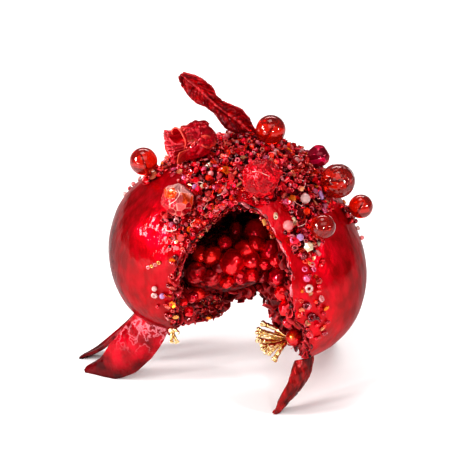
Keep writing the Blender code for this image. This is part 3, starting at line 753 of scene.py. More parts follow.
# Painted shade: the glue's near-black tones also stand for the shade in the gaps between the beads.
GLUE_AND_GAP_SHADE = foil("glue_and_gap_shade", ((0.01, 0.0, 0.001), (0.06, 0.0, 0.002), (0.2, 0.001, 0.006)), 0.2, 0.35)
FLAKE = tinted_foil("torn_flake", 0.3, 0.3, 1.1)
BERRY_RED = tinted(
    surface("berry_red", (0.6, 0.0, 0.006), 0.14, metallic=0.65, coat=0.4, gloss=0.0, coat_ior=1.8)
)
bumps(BERRY_RED, 0.2, 0.5, 1.2, 1.0)
bumps(BERRY_RED, 0.7, 0.3, 0.2, 1.0)
POD_FOIL = tinted_foil("pod_foil", 0.2, 0.5, 1.3)
LEAF_RED = tinted_foil("leaf_red", 0.22, 0.5, 1.0)
RUBY_GLASS = surface("ruby_glass", (0.56, 0.008, 0.001), 0.02, clear=0.84, ior=1.5)
CRACKLED_GLASS = surface("crackled_glass", (0.52, 0.008, 0.001), 0.03, clear=0.84, ior=1.48)
bumps(CRACKLED_GLASS, 0.22, 0.8, 1.2, cells=True)
BEAD_GLOSS = tinted(
    surface("bead_gloss", (0.4, 0.0, 0.01), 0.1, metallic=0.65, coat=0.5, gloss=0.0, coat_ior=1.9)
)
BEAD_CLEAR = tinted(surface("bead_clear", (0.9, 0.3, 0.35), 0.05, clear=0.45, ior=1.55))
SEQUIN = tinted(surface("sequin", (0.6, 0.05, 0.02), 0.18, metallic=0.7, coat=0.8, gloss=0.0))
GOLD = surface("gold", (0.8, 0.5, 0.16), 0.25, metallic=1.0)
shader_of(GOLD).inputs["Specular Tint"].default_value = (1.0, 0.9, 0.7, 1.0)
mottle(GOLD, ((0.34, (0.4, 0.18, 0.05)), (0.45, (0.85, 0.56, 0.22)), (0.62, (1.0, 0.84, 0.55))), 0.5)
bumps(GOLD, 0.9, 0.5, 0.3)
THREAD = surface("thread", (0.8, 0.55, 0.5), 0.25, coat=0.5)
mottle(THREAD, ((0.4, (0.55, 0.12, 0.1)), (0.6, (0.9, 0.68, 0.6))), 0.4)


# Fruit


def whole_fruit(name, columns, rows, growth=0.0):
    ways, faces = sphere_grid(columns, rows)
    points = ways * (skin_radius(ways) + growth)[:, None]
    dents = 0.4 * noises(points, (0.05, 0.05, 0.03)) + 0.16 * noises(points, (0.16, 0.16, 0.06), 5.0)
    return bare_object(name, points + ways * np.minimum(dents, 0.3)[:, None], faces)


def crumple_in(points, inward):
    """Moves points along inward by crumpled foil's relief, more the deeper they lie in the fruit."""
    depth = 0.3 + 0.7 * np.clip(-skin_field(points) / 5.0, 0, 1)
    return points + inward * (depth * (2.6 * creases(points, 0.17) - 1.2))[:, None]


def loft_cutter():
    """The slot that runs through the fruit, from the front arch to the narrower back one."""
    count = 220
    front = smooth_through(FRONT_ARCH, count)
    back = smooth_through(BACK_ARCH, count)
    waves = noises(np.column_stack([back, np.zeros(count)]), 0.3)
    back[:, 1] += np.where(back[:, 1] > -48, 1.3 * waves, 0)
    rings = []
    for deep in (-75.0, *np.arange(-44.0, 47.0, 1.4), 75.0):
        share = np.clip((deep - FRONT_DEPTH) / (BACK_DEPTH - FRONT_DEPTH), 0, 1)
        outline = front * (1 - share) + back * share
        ahead = unit_rows(np.gradient(outline, axis=0))
        inward = np.column_stack([ahead[:, 1], -ahead[:, 0], np.zeros(count)]) @ OPENING_AXES
        rings.append(crumple_in(np.column_stack([outline, np.full(count, deep)]) @ OPENING_AXES, inward))
    return bare_object("loft", np.concatenate(rings), tube_faces(len(rings), count))


def cavity_cutter():
    """The round hollow behind the arch."""
    ways, faces = sphere_grid(84, 56)
    points = (ways * CAVITY_RADII + CAVITY_AT) @ OPENING_AXES
    return bare_object("cavity", crumple_in(points, -ways @ OPENING_AXES), faces)


def fruit():
    """The split fruit: lacquered outside, dark crumpled foil inside."""
    obj = whole_fruit("fruit_skin", columns=190, rows=120)
    cut(obj, loft_cutter())
    cut(obj, cavity_cutter())
    mesh = obj.data
    mesh.materials.clear()
    mesh.materials.append(RED_LACQUER)
    mesh.materials.append(TORN_INSIDE)
    middles = np.array([tuple(face.center) for face in mesh.polygons]) / MM - CENTRE
    inside = skin_field(middles) < -INSIDE_FROM
    mesh.polygons.foreach_set("material_index", inside.astype(np.int32))
    mesh.shade_smooth()
    mesh.set_sharp_from_angle(angle=math.radians(38))
    return settle(obj, ["fruit_shell"])


def rim_line(first, last, count):
    """The line where the front arch meets the skin, between two shares of the arch's length."""
    steps = 500
    arch = smooth_through(FRONT_ARCH, steps)
    line = []
    for across, up in arch[int(first * steps) : int(last * steps)]:
        ray = opening_point(across, up, 0) - np.arange(-60, 0, 0.25)[:, None] * VIEW_BACK
        field = skin_field(ray)
        if field.min() < 0:
            line.append(ray[np.argmax(field < 0)])
    return smooth_through(line[:: max(1, len(line) // 40)], count)


def torn_rim():
    """The torn skin's thin crumpled edge, pale pink along the upper right."""
    parts, tints = [], []
    for first, last, thick, tint in (
        (0.2, 0.5, 0.4, (0.35, 0.0, 0.008)), (0.49, 0.72, 0.42, (0.8, 0.16, 0.18)),
        (0.71, 0.86, 0.35, (0.5, 0.02, 0.03)),
    ):
        line = rim_line(first, last, 130)
        wander = np.stack([noises(line, 0.3, shift) for shift in (1.0, 11.0, 23.0)], axis=1)
        radii = thick * (1 + 1.1 * noises(line, 0.3, 4.0))
        points, faces = tube(line + 0.8 * wander, np.clip(radii, 0.12, 1.0))
        shade = 0.7 + 0.9 * noises(points, 0.25, 8.0)
        parts.append((points, faces))
        tints.append(np.array(tint) * shade[:, None])
    new_piece("torn_rim", *together(parts), POD_FOIL, slot="red_lacquer", tints=np.concatenate(tints))


# Berries


def mound_front(across, up):
    right, above = across - MOUND_AT[0], up - MOUND_AT[1]
    turned = right * math.cos(MOUND_ROLL) + above * math.sin(MOUND_ROLL)
    raised = above * math.cos(MOUND_ROLL) - right * math.sin(MOUND_ROLL)
    share = (turned / MOUND_RADII[0]) ** 2 + (raised / MOUND_RADII[1]) ** 2
    return opening_point(across, up, MOUND_AT[2] - MOUND_RADII[2] * math.sqrt(max(0.0, 1 - share)))


def berries():
    """The berries of the hollow, glossy or wrapped in foil, on a dark crumpled core."""
    ways, faces = sphere_grid(80, 50)
    rolled = ways * MOUND_RADII
    cos, sin = math.cos(MOUND_ROLL), math.sin(MOUND_ROLL)
    across = rolled[:, 0] * cos - rolled[:, 1] * sin + MOUND_AT[0]
    up = rolled[:, 0] * sin + rolled[:, 1] * cos + MOUND_AT[1]
    core = np.column_stack([across, up, rolled[:, 2] + MOUND_AT[2]]) @ OPENING_AXES
    core += VIEW_BACK * (4.5 * creases(core, 0.16) - 4.0)[:, None]
    new_piece("aril_core", core, faces, TORN_INSIDE, ["aril_mound"], "aril_red")
    rng = np.random.default_rng(3)
    ball, faces = sphere_grid(36, 26)
    glossy, wrapped = [], []
    for number, (across, up, radius) in enumerate(BERRIES):
        stretch = 1 + rng.uniform(-0.12, 0.32, 3)
        turn = turns_about(-VIEW_BACK[None], rng, 0.9)[0]
        middle = mound_front(across, up)
        points = ball * stretch * radius * 1.12 @ turn.T + middle
        if number in FOIL_BERRIES:
            ribs = 0.5 + 0.5 * np.sin(ball[:, 2] * 16 + 3 * noises(ball, 1.5, number))
            points += unit_rows(points - middle) * (0.55 * ribs - 0.2)[:, None]
            # Painted highlight: the ribs' crests are tinted pale.
            tints = np.array((0.5, 0.0, 0.008)) + np.array((0.3, 0.07, 0.07)) * (ribs**6)[:, None]
            wrapped.append((points, faces, tints))
        else:
            points += unit_rows(points - middle) * (0.55 * noises(points, 0.2))[:, None]
            tone = BERRY_TONES[number % len(BERRY_TONES)]
            glossy.append((points, faces, np.array(tone) * (1 + 0.25 * noises(points, 0.3))[:, None]))
    for number, (across, up, deep, radius) in enumerate(WALL_BERRIES):
        points = ball * radius * (1 + rng.uniform(-0.12, 0.2, 3)) + opening_point(across, up, deep)
        points += ball * (0.9 * creases(points, 0.22) - 0.4)[:, None]
        glossy.append((points, faces, np.tile(BERRY_TONES[number % 3], (len(points), 1))))
    for name, parts, finish in (("berries", glossy, BERRY_RED), ("berries_wrapped", wrapped, POD_FOIL)):
        tints = np.concatenate([part[2] for part in parts])
        new_piece(name, *together([part[:2] for part in parts]), finish, slot="aril_red", tints=tints)


# The crust of beads


RING = lathe([(0.72 + 0.36 * math.cos(t), 0.42 * math.sin(t)) for t in np.arange(5) * 0.4 * math.pi], 10)
BUGLE = lathe([(0.62, -1.0), (0.62, 1.0), (0.34, 1.0), (0.34, -1.0)], 9)
ROUND = icosphere(2)
CRYSTAL = icosphere(1)
SEQUIN_DISC = sequin_shape()

REDS = np.array([
    (0.75, 0.0, 0.01), (0.4, 0.0, 0.008), (0.9, 0.004, 0.02), (0.16, 0.0, 0.004), (0.8, 0.01, 0.04),
    (0.6, 0.0, 0.01), (0.9, 0.03, 0.01), (0.85, 0.07, 0.07),
])
PINKS = np.array([
    (0.9, 0.15, 0.2), (0.85, 0.07, 0.1), (0.95, 0.32, 0.32), (0.85, 0.03, 0.07), (0.9, 0.12, 0.08),
    (0.9, 0.22, 0.25), (0.8, 0.12, 0.25),
])
ORANGES = np.array([
    (0.9, 0.2, 0.01), (0.75, 0.04, 0.01), (0.5, 0.005, 0.01), (0.6, 0.01, 0.02), (0.8, 0.3, 0.15),
])
SINGLE_COLOURS = {
    "clear": (0.95, 0.6, 0.56), "blush": (0.95, 0.3, 0.3), "red": (0.6, 0.005, 0.02),
    "wine": (0.2, 0.0, 0.01), "amber": (0.85, 0.35, 0.1), "orange": (0.95, 0.2, 0.01),
    "pink": (0.8, 0.1, 0.22), "lilac": (0.6, 0.3, 0.6), "cream": (0.9, 0.72, 0.5),
}


def solids_in_crust():
    """Centre and radius of what sits in the crust, which its beads keep clear of."""
    taken = [(over_bed(*where, radius)[0], radius) for *where, radius in GLASS_BEADS]
    taken += [(over_bed(*where, radius * 0.9)[0], radius * 0.92) for *where, radius in CRINKLED_BEADS]
    middle, along, _, _ = bud_axes()
    taken += [(middle + along * BUD_LENGTH * share, 7.0) for share in (-0.3, -0.1, 0.1, 0.3)]
    return taken


def crust_points(count):
    """Evenly spaced points of the skin, except near its bottom."""
    order = np.arange(count) + 0.5
    polar = np.arccos(1 - 2 * order / count)
    turn = math.pi * (1 + 5**0.5) * order
    ways = np.stack([np.cos(turn) * np.sin(polar), np.sin(turn) * np.sin(polar), np.cos(polar)], axis=1)
    ways = ways[ways[:, 2] > LOWEST_CRUST]
    return ways * skin_radius(ways)[:, None]


def crust_height(beyond):
    """How thick the crust is, thinner towards its ragged edge."""
    return 0.3 + 2.0 * np.clip(-beyond / 6.0, 0, 1)


def crust_bed():
    """The glue under the beads, near black as painted shade for the gaps between them: the skin's upper
    part, lifted, with a ragged edge.
    """
    bm = bmesh.new()
    bmesh.ops.create_icosphere(bm, subdivisions=6, radius=1)
    ways = np.array([tuple(vert.co.normalized()) for vert in bm.verts])
    points = ways * skin_radius(ways)[:, None]
    ragged = crust_edge(points) + 1.6 * noises(points, 0.12) + 1.0
    lift = np.clip(-ragged / 2.0, -0.4, 0.9) + 0.3 * noises(points, 0.4, 2.0)
    keep = (ragged < 0.8) & (above_opening(points) > 0.4)
    for vert, point, way, up in zip(bm.verts, points, ways, lift):
        vert.co = Vector(place(point + way * up))
    gone = [face for face in bm.faces if not all(keep[vert.index] for vert in face.verts)]
    bmesh.ops.delete(bm, geom=gone, context="FACES")
    mesh = bpy.data.meshes.new("crust_bed")
    bm.to_mesh(mesh)
    bm.free()
    obj = linked("crust_bed", mesh)
    mesh.materials.append(GLUE_AND_GAP_SHADE)
    solidify(obj, 0.5, -1.0)
    obj.data.shade_smooth()
    return settle(obj, ["bead_crust"])


def crust():
    """The crust: a bed, then rings, balls, crystals, sequins and short tubes in layers."""
    crust_bed()
    rng = np.random.default_rng(11)
    points = crust_points(70000)
    beyond = crust_edge(points) + 1.3 * noises(points, 0.16)
    trail = np.min([beyond_outline(seen(points), outline) for outline in TRAILS], axis=0)
    trail = np.where(skin_normals(points) @ VIEW_BACK > FACES_FRONT, trail, 99.0)
    over = above_opening(points)
    near = ((beyond < 1.2) | (trail < 1.0)) & (over > 0.3)
    points, beyond, trail = points[near], beyond[near], trail[near]
    normals = skin_normals(points)
    taken = solids_in_crust()
    # Name, shape, whether strewn thinly, share of the height, spacing, size range, tilt, colours, finish.
    layers = (
        # Painted shade: the lowest rings take the reds at 0.8, darker than the top layer above them.
        ("ring_beads_low", RING, False, 0.4, 2.3, (0.85, 1.15), 0.7, REDS * 0.8, BEAD_GLOSS),
        ("round_beads_low", ROUND, False, 0.7, 3.4, (0.7, 1.4), 1.0, REDS, BEAD_GLOSS),
        ("sequins_low", SEQUIN_DISC, False, 0.7, 3.3, (1.1, 2.0), 0.7, REDS, SEQUIN),
        ("ring_beads_top", RING, False, 1.0, 2.9, (0.9, 1.25), 0.9, REDS, BEAD_GLOSS),
        ("crystals", CRYSTAL, False, 1.1, 4.4, (1.0, 2.1), 1.0, REDS, SEQUIN),
        ("clear_beads", RING, False, 1.25, 4.4, (0.9, 1.5), 0.9, PINKS, BEAD_CLEAR),
        ("pink_balls", ROUND, False, 1.2, 7.0, (0.8, 1.5), 0.9, PINKS, BEAD_CLEAR),
        ("bugle_beads", BUGLE, False, 1.2, 5.6, (0.9, 1.4), 9.0, REDS, BEAD_GLOSS),
        ("sequins_top", SEQUIN_DISC, False, 1.3, 6.0, (1.0, 2.2), 0.8, ORANGES, SEQUIN),
        ("strewn_rings", RING, True, 0.3, 4.6, (0.9, 1.3), 0.4, REDS, BEAD_GLOSS),
        ("strewn_clear", RING, True, 0.3, 6.0, (0.9, 1.6), 0.4, PINKS, BEAD_CLEAR),
        ("strewn_balls", ROUND, True, 0.3, 6.0, (0.7, 1.2), 0.4, REDS, BEAD_GLOSS),
        ("strewn_sequins", SEQUIN_DISC, True, 0.2, 7.0, (0.9, 1.5), 0.3, ORANGES, SEQUIN),
    )
    for name, shape, strewn, share, spacing, sizes, tilt, colours, finish in layers:
        fringe = 0.6 if share < 1 else -0.8
        some = np.flatnonzero((trail < 0) & (beyond > 0) if strewn else beyond < fringe)
        chosen = some[spread(points[some], spacing, rng)]
        height = crust_height(beyond[chosen]) * share + 0.5 + rng.uniform(-0.35, 0.35, len(chosen))
        at = points[chosen] + normals[chosen] * height[:, None]
        clear = np.ones(len(at), bool)
        for centre, radius in taken:
            clear &= np.linalg.norm(at - centre, axis=1) > radius + 0.6
        at, chosen = at[clear], chosen[clear]
        turns = turns_about(normals[chosen], rng, tilt)
        size = rng.uniform(*sizes, len(at))
        if shape is CRYSTAL:
            size = size[:, None] * rng.uniform(0.6, 1.15, (len(at), 3))
        tints = colours[rng.integers(len(colours), size=len(at))] * rng.uniform(0.6, 1.25, (len(at), 1))
        smooth = shape is RING or shape is ROUND
        heap(name, shape, at, turns, size, tints, finish, slot="seed_bead_red", smooth=smooth)


def single_beads():
    """The beads that stand out one by one."""
    rng = np.random.default_rng(41)
    shapes = {"ring": RING, "round": ROUND, "bugle": BUGLE, "crystal": CRYSTAL, "sequin": SEQUIN_DISC}
    for kind, singles in SINGLES.items():
        for see_through in (True, False):
            some = [single for single in singles if (single[3] in SEE_THROUGH) == see_through]
            if not some:
                continue
            seats = [skin_at(right, up) for right, up, _, _ in some]
            points, normals = np.swapaxes(seats, 0, 1)
            sizes = np.array([size for _, _, size, _ in some])
            lift = 0.55 * sizes + 2.2 * np.clip(-crust_edge(points) / 3.0, 0, 1)
            opaque = SEQUIN if kind in ("sequin", "crystal") else BEAD_GLOSS
            finish = BEAD_CLEAR if see_through else opaque
            turns = turns_about(normals, rng, 6.0 if kind == "bugle" else 0.35)
            heap(
                f"single_{kind}_{'clear' if see_through else 'red'}", shapes[kind],
                points + normals * lift[:, None], turns, sizes,
                np.array([SINGLE_COLOURS[single[3]] for single in some]), finish,
                slot="seed_bead_red", smooth=kind in ("ring", "round"),
            )


def wires():
    """Fine pale wires that loop over the crust."""
    rng = np.random.default_rng(43)
    points = crust_points(3000)
    inside = (crust_edge(points) < -1.5) & (above_opening(points) > 2.0)
    points = points[inside]
    chosen = points[spread(points, 7.5, rng)]
    normals = skin_normals(chosen)
    turns = turns_about(normals, rng, 0.5)
    steps = 16
    parts = []
    for at, normal, turn in zip(chosen, normals, turns):
        length = rng.uniform(1.5, 3.6)
        bend = rng.uniform(0.5, 1.6)
        sweep = np.linspace(-1, 1, 9)
        line = np.stack([sweep * length, bend * (1 - sweep**2), 0.5 * np.sin(sweep * 3)], axis=1)
        line = line @ turn.T + at + normal * 3.2
        line += normal * (-skin_field(line) + 3.0 + 0.4 * np.cos(sweep * 4))[:, None]
        parts.append(tube(smooth_through(line, steps), np.full(steps, 0.16), 6))
    new_piece("crust_wires", *together(parts), THREAD, slot="seed_bead_red")


def inside_places(obj, count, seed):
    """Points and normals spread over the torn inside by area."""
    rng = np.random.default_rng(seed)
    mesh = obj.data
    faces = [face for face in mesh.polygons if face.material_index == 1]
    areas = np.array([face.area for face in faces])
    middles = np.array([tuple(face.center) for face in faces]) / MM - CENTRE
    normals = np.array([tuple(face.normal) for face in faces])
    chosen = rng.choice(len(faces), count, p=areas / areas.sum())
    return middles[chosen] + rng.normal(size=(count, 3)) * 0.4, normals[chosen]


def flake_shape():
    """A small irregular curled flake, thick enough to be a solid."""
    rows, columns = 4, 5
    points = []
    for side in (0.05, -0.05):
        for i in range(rows):
            for j in range(columns):
                x, y = 2 * i / (rows - 1) - 1, 2 * j / (columns - 1) - 1
                wide = 1 - 0.35 * x * x
                lift = 0.35 * x * x - 0.25 * y * y + 0.12 * math.sin(3 * x + 2 * y)
                points.append((x, y * wide, lift + side))
    faces = grid_faces(rows, columns)
    under = [tuple(index + rows * columns for index in face[::-1]) for face in grid_faces(rows, columns)]
    rim = list(range(columns))
    rim += [i * columns + columns - 1 for i in range(1, rows)]
    rim += [(rows - 1) * columns + j for j in range(columns - 2, -1, -1)]
    rim += [i * columns for i in range(rows - 2, 0, -1)]
    sides = []
    for one, two in zip(rim, rim[1:] + rim[:1]):
        sides.append((two, one, one + rows * columns, two + rows * columns))
    return np.array(points), faces + under + sides


def torn_lining(obj):
    """Flakes, rings, sequins and crystals that line the torn hollow; the beads take the crust's colours
    darkened as painted shade, and the flakes' rims carry a painted highlight.
    """
    rng = np.random.default_rng(31)
    points, normals = inside_places(obj, 26000, 17)
    facing = normals @ VIEW_BACK
    deep = -skin_field(points)
    up = points @ VIEW_UP
    low_band = (up < -12) & (facing > 0.1)
    flakes = np.flatnonzero(low_band | ((deep < 9) & (up < 0)))
    chosen = flakes[spread(points[flakes], 2.5, rng)]
    size = rng.uniform(1.2, 3.2, (len(chosen), 3)) * np.array([1, 1, 0.7])
    tints = np.array((0.24, 0.002, 0.004)) * rng.uniform(0.15, 1.6, (len(chosen), 1))
    shape = flake_shape()
    # Painted highlight: each flake's rim is lit pale pink, and its middle is slightly darkened.
    away = np.abs(shape[0][:, :2]).max(axis=1)
    painted_light = np.where(away[:, None] > 0.9, (2.2, 14.0, 9.0), (0.8, 0.8, 0.8))
    at = points[chosen] + normals[chosen] * rng.uniform(0.1, 0.9, len(chosen))[:, None]
    heap(
        "torn_flakes", shape, at, turns_about(normals[chosen], rng, 0.6), size, tints, FLAKE,
        painted_light=painted_light, slot="red_lacquer",
    )
    left = np.flatnonzero((deep > 0.8) & ((points[:, 0] < -9) | (up > 4)) & (deep < 17) & (facing > -0.6))
    # Painted shade: the hollow's rings, sequins and crystals take the crust's colours darkened to 0.7, 0.9
    # and 0.5.
    for name, shape, spacing, sizes, colours, finish in (
        ("lining_rings", RING, 2.2, (0.85, 1.15), REDS * 0.7, BEAD_GLOSS),
        ("lining_sequins", SEQUIN_DISC, 3.2, (0.9, 1.5), ORANGES * 0.9, SEQUIN),
        ("lining_crystals", CRYSTAL, 3.0, (0.7, 1.3), REDS * 0.5, SEQUIN),
    ):
        chosen = left[spread(points[left], spacing, rng)]
        at = points[chosen] + normals[chosen] * rng.uniform(0.2, 1.3, len(chosen))[:, None]
        tints = colours[rng.integers(len(colours), size=len(at))] * rng.uniform(0.5, 1.2, (len(at), 1))
        heap(
            name, shape, at, turns_about(normals[chosen], rng, 0.8), rng.uniform(*sizes, len(at)),
            tints, finish, slot="seed_bead_red", smooth=shape is RING,
        )


# Beads, bud and leaf


def glass_balls():
    """Clear balls on the crust, each with a fine bore. The largest is crackled."""
    bore = 0.06
    polar = np.linspace(math.asin(bore), math.pi - math.asin(bore), 40)
    profile = [(math.sin(t), math.cos(t)) for t in polar]
    profile += [(bore, h) for h in np.linspace(-0.94, 0.94, 12)]
    points, faces = lathe(profile, 56)
    for number, (azimuth, elevation, radius) in enumerate(GLASS_BEADS, 1):
        at, normal = over_bed(azimuth, elevation, radius)
        finish = CRACKLED_GLASS if number == 3 else RUBY_GLASS
        turn = turns_about(unit(normal * 0.35 + VIEW_BACK)[None], np.random.default_rng(number), 0.22)[0]
        ball = new_piece(
            f"glass_ball_{number}", points * radius @ turn.T + at, faces, finish, [f"glass_bead_{number}"],
            "ruby_glass",
        )
        ball.data.set_sharp_from_angle(angle=math.radians(40))


def folded_ball(ways, radius, seed, count, deep, shade_of, fold_highlight, wrinkle):
    """A ball wrapped in foil: facets that meet in raised folds, small wrinkles, and their tints, with a
    painted highlight along the folds and the wrinkle lines.
    """
    rng = np.random.default_rng(seed)
    cuts = unit_rows(rng.normal(size=(count, 3)))
    reach = rng.uniform(1 - deep, 1.0, count)
    away = reach / np.maximum(ways @ cuts.T, 0.05)
    order = np.argsort(away, axis=1)
    first = np.take_along_axis(away, order[:, :1], axis=1)[:, 0]
    second = np.take_along_axis(away, order[:, 1:2], axis=1)[:, 0]
    fold = np.exp(-(((second - first) / 0.009) ** 2)) * np.clip(0.35 + 1.2 * noises(ways, 1.8, seed), 0, 1)
    warped = ways + 0.16 * np.stack([noises(ways, 2.2, seed + shift) for shift in (3.0, 7.0, 13.0)], axis=1)
    ridge = 1 - np.clip(2.4 * np.abs(noises(warped, 3.2, float(seed))), 0, 1)
    small = 1 - np.clip(2.2 * np.abs(noises(warped, 7.5, seed + 5.0)), 0, 1)
    lines = np.clip(0.65 * ridge**2 + 0.5 * small**2, 0, 1) * wrinkle
    reach = np.minimum(first, 1.0) - 0.05 * wrinkle + 0.055 * lines + 0.02 * fold
    points = ways * (radius * np.minimum(reach, 1.0))[:, None]
    facet = np.array([shade_of(cut, rng) for cut in cuts]) * rng.uniform(0.55, 1.2, (count, 1))
    # Painted highlight: the tints brighten along the raised wrinkle lines and the folds.
    tone = 1 - 0.62 * wrinkle + 0.95 * lines
    return points, facet[order[:, 0]] * tone[:, None] + np.clip(fold, 0, 1)[:, None] * np.array(fold_highlight)


def bright_pod(way, rng):
    return (0.85, 0.0, 0.012) if rng.random() < 0.7 else (0.6, 0.0, 0.008)


def painted_light_pod(way, rng):
    """Painted light: pale pink above and on the right as a painted highlight, orange in the middle, dark
    red below as painted shade.
    """
    raised = way @ VIEW_UP * 0.85 + way @ VIEW_RIGHT * 0.45 + rng.uniform(-0.2, 0.2)
    if raised > 0.45:
        return (1.0, 0.38, 0.36)
    if raised > -0.1:
        return (1.0, 0.08, 0.01) if rng.random() < 0.65 else (0.95, 0.1, 0.1)
    return (0.7, 0.0, 0.014)


def magenta_pod(way, rng):
    return ((0.6, 0.0, 0.06), (0.75, 0.004, 0.1), (0.2, 0.0, 0.015))[rng.integers(3)]


# Colour, the folds' painted highlight, facets, their depth and the share of small wrinkles.
PODS = (
    (bright_pod, (0.2, 0.04, 0.04), 60, 0.14, 0.85),
    (painted_light_pod, (0.5, 0.35, 0.28), 110, 0.16, 0.6),
    (magenta_pod, (0.3, 0.1, 0.12), 34, 0.16, 0.15),
)
# Threads over the pods, seen from the front, in shares of the radius right of and above the middle.
POD_THREADS = (
    (((-0.5, 0.3), (-0.1, 0.25), (0.15, 0.14), (0.45, 0.04)),),
    (((-0.5, -0.3), (-0.1, -0.05), (0.15, 0.3), (0.1, 0.6)),),
    (),
)


def crinkled_balls():
    ways, faces = icosphere(6)
    steps = 30
    threads = []
    for number, (azimuth, elevation, radius) in enumerate(CRINKLED_BEADS):
        point, normal = seat(azimuth, elevation)
        shade_of, fold_highlight, count, deep, wrinkle = PODS[number]
        points, tints = folded_ball(ways, radius, 21 + number, count, deep, shade_of, fold_highlight, wrinkle)
        low = (points @ normal).min()
        middle = point + normal * (BED_TOP + GAP - low)
        ball = new_piece(
            f"crinkled_ball_{number + 1}", points + middle, faces, POD_FOIL,
            [f"crinkled_bead_{number + 1}"], "crinkled_foil", tints=tints,
        )
        ball.data.set_sharp_from_angle(angle=math.radians(24))
        for bends in POD_THREADS[number]:
            line = smooth_through([(a, b, (1 - a * a - b * b) ** 0.5) for a, b in bends], steps)
            line = unit_rows(line @ np.array([VIEW_RIGHT, VIEW_UP, VIEW_BACK]))
            nearest = np.argmax(line @ ways.T, axis=1)
            lift = np.linalg.norm(points[nearest], axis=1) + 0.05
            threads.append(tube(line * smooth_row(lift)[:, None] + middle, np.full(steps, 0.12), 6))
    new_piece("pod_threads", *together(threads), THREAD, slot="crinkled_foil")


def smooth_row(values):
    """Each value with its neighbours on either side, the highest of them."""
    padded = np.pad(values, 1, mode="edge")
    return np.maximum(np.maximum(padded[:-2], padded[1:-1]), padded[2:])


def bud_axes():
    """The bud's middle, its way towards its mouth, its side and its top."""
    middle, normal = over_bed(*BUD_SEAT)
    along = np.array(BUD_WAY)
    along = unit(along - normal * (along @ normal)) + BUD_RISE * normal
    along = unit(along)
    side = unit(np.cross(normal, along))
    return middle, along, side, np.cross(along, side)


def bud():
    """The rosebud: a pleated body, wrapped petals and a ring-shaped petal that stands at its mouth."""
    middle, along, side, normal = bud_axes()
    rows, columns = 70, 96
    profile = smooth_through(BUD_PROFILE, rows)
    points, tints = [], []
    for share, reach in profile:
        for angle in around(columns):
            drift = wave(math.cos(angle) * 1.3, math.sin(angle) * 1.3, share * 2.2)
            pleat = abs(math.sin(10 * angle + 4.5 * drift + 2.5 * share))
            painted_crest_highlight = (1 - pleat) ** 3
            fold = 0.84 + 0.13 * (1 - pleat) + 0.06 * math.cos(3 * angle - 2)
            flat = reach * fold * (math.cos(angle) * side + math.sin(angle) * normal)
            points.append(middle + along * (share - 0.5) * BUD_LENGTH + flat)
            # Painted shade in the pleats' troughs and a pale pink painted highlight along their crests.
            painted_pleat_shade = 0.45 + 0.75 * (1 - pleat)
            tints.append(np.array((0.6, 0.0, 0.012)) * painted_pleat_shade + painted_crest_highlight**2 * np.array((0.35, 0.16, 0.17)))
    points = np.array(points)
    points += unit_rows(points - middle) * (0.8 * creases(points, 0.22) - 0.5)[:, None]
    faces = tube_faces(rows, columns)
    new_piece("bud_body", points, faces, POD_FOIL, ["rosebud"], "crinkled_foil", tints=np.array(tints))
    bud_petals(middle, along, side, normal)
    bud_hood(middle, along, side, normal)


def bud_petals(middle, along, side, normal):
    shares = [share for share, _ in BUD_PROFILE[:8]]
    reaches = [reach for _, reach in BUD_PROFILE[:8]]
    for number, (start, span, base, top, grow, edge) in enumerate((
        (60, 150, 0.12, 0.74, 0.5, (0.2, 0.09, 0.04)), (215, 150, 0.3, 1.0, 0.5, (0.2, 0.05, 0.02)),
        (-25, 120, 0.25, 0.95, 0.7, (0.25, 0.09, 0.04)),
    )):
        rows, columns = 30, 40
        grid, tints = [], []
        for s in np.linspace(base, top, rows):
            share = (s - base) / (top - base)
            reach = np.interp(s, shares, reaches)
            wide = 0.45 + 0.55 * math.sin(math.pi * min(1, share + 0.25))
            lip = 9 * max(0.0, share - 0.75) ** 2
            for t in np.linspace(-1, 1, columns):
                angle = math.radians(start + span * t / 2 * wide)
                flat = (reach * 0.95 + grow + lip) * (math.cos(angle) * side + math.sin(angle) * normal)
                grid.append(middle + along * ((s - 0.5) * BUD_LENGTH - 1.4 * t * t) + flat)
                rim = max(abs(t) ** 14, share**12)
                vein = 0.6 + 0.5 * abs(math.sin(9 * t + 3 * share + number))
                tints.append(np.array((0.45, 0.0, 0.01)) * vein + rim * np.array(edge))
        grid = np.array(grid)
        grid += unit_rows(grid - middle) * (1.0 * creases(grid, 0.26, float(number)) - 0.5)[:, None]
        new_piece(
            f"bud_petal_{number + 1}", grid, grid_faces(rows, columns), POD_FOIL, slot="crinkled_foil",
            tints=np.array(tints), thick=0.4,
        )


def bud_hood(middle, along, side, normal):
    """The petal at the mouth that folds over into an upright ring, lit orange along its lip."""
    rows, columns = 22, 48
    up = unit(normal * 0.85 + VIEW_BACK * 0.2)
    out = unit(along * 0.75 + VIEW_BACK * 0.75)
    across = unit(np.cross(up, out))
    base = middle + along * BUD_LENGTH * 0.17 + normal * 1.8 + VIEW_BACK * 3.6
    grid, tints = [], []
    for share in np.linspace(0, 1, rows):
        for angle in around(columns):
            wide = 2.9 + 0.9 * math.sin(math.pi * share * 0.8) + 0.25 * math.cos(5 * angle)
            tall = 4.9 + 1.2 * share
            flat = across * wide * math.cos(angle) + up * tall * math.sin(angle)
            grid.append(base + flat * (0.35 + 0.65 * share**0.5) + out * (4.2 * share - 1.0))
            tints.append(np.array((0.6, 0.0, 0.012)) + share**14 * np.array((0.35, 0.12, 0.07)))
    grid = np.array(grid)
    grid += unit_rows(grid - base) * (0.5 * creases(grid, 0.35) - 0.2)[:, None]
    new_piece(
        "bud_hood", grid, grid_faces(rows, columns, wrap=True), POD_FOIL, slot="crinkled_foil",
        tints=np.array(tints), thick=0.55,
    )


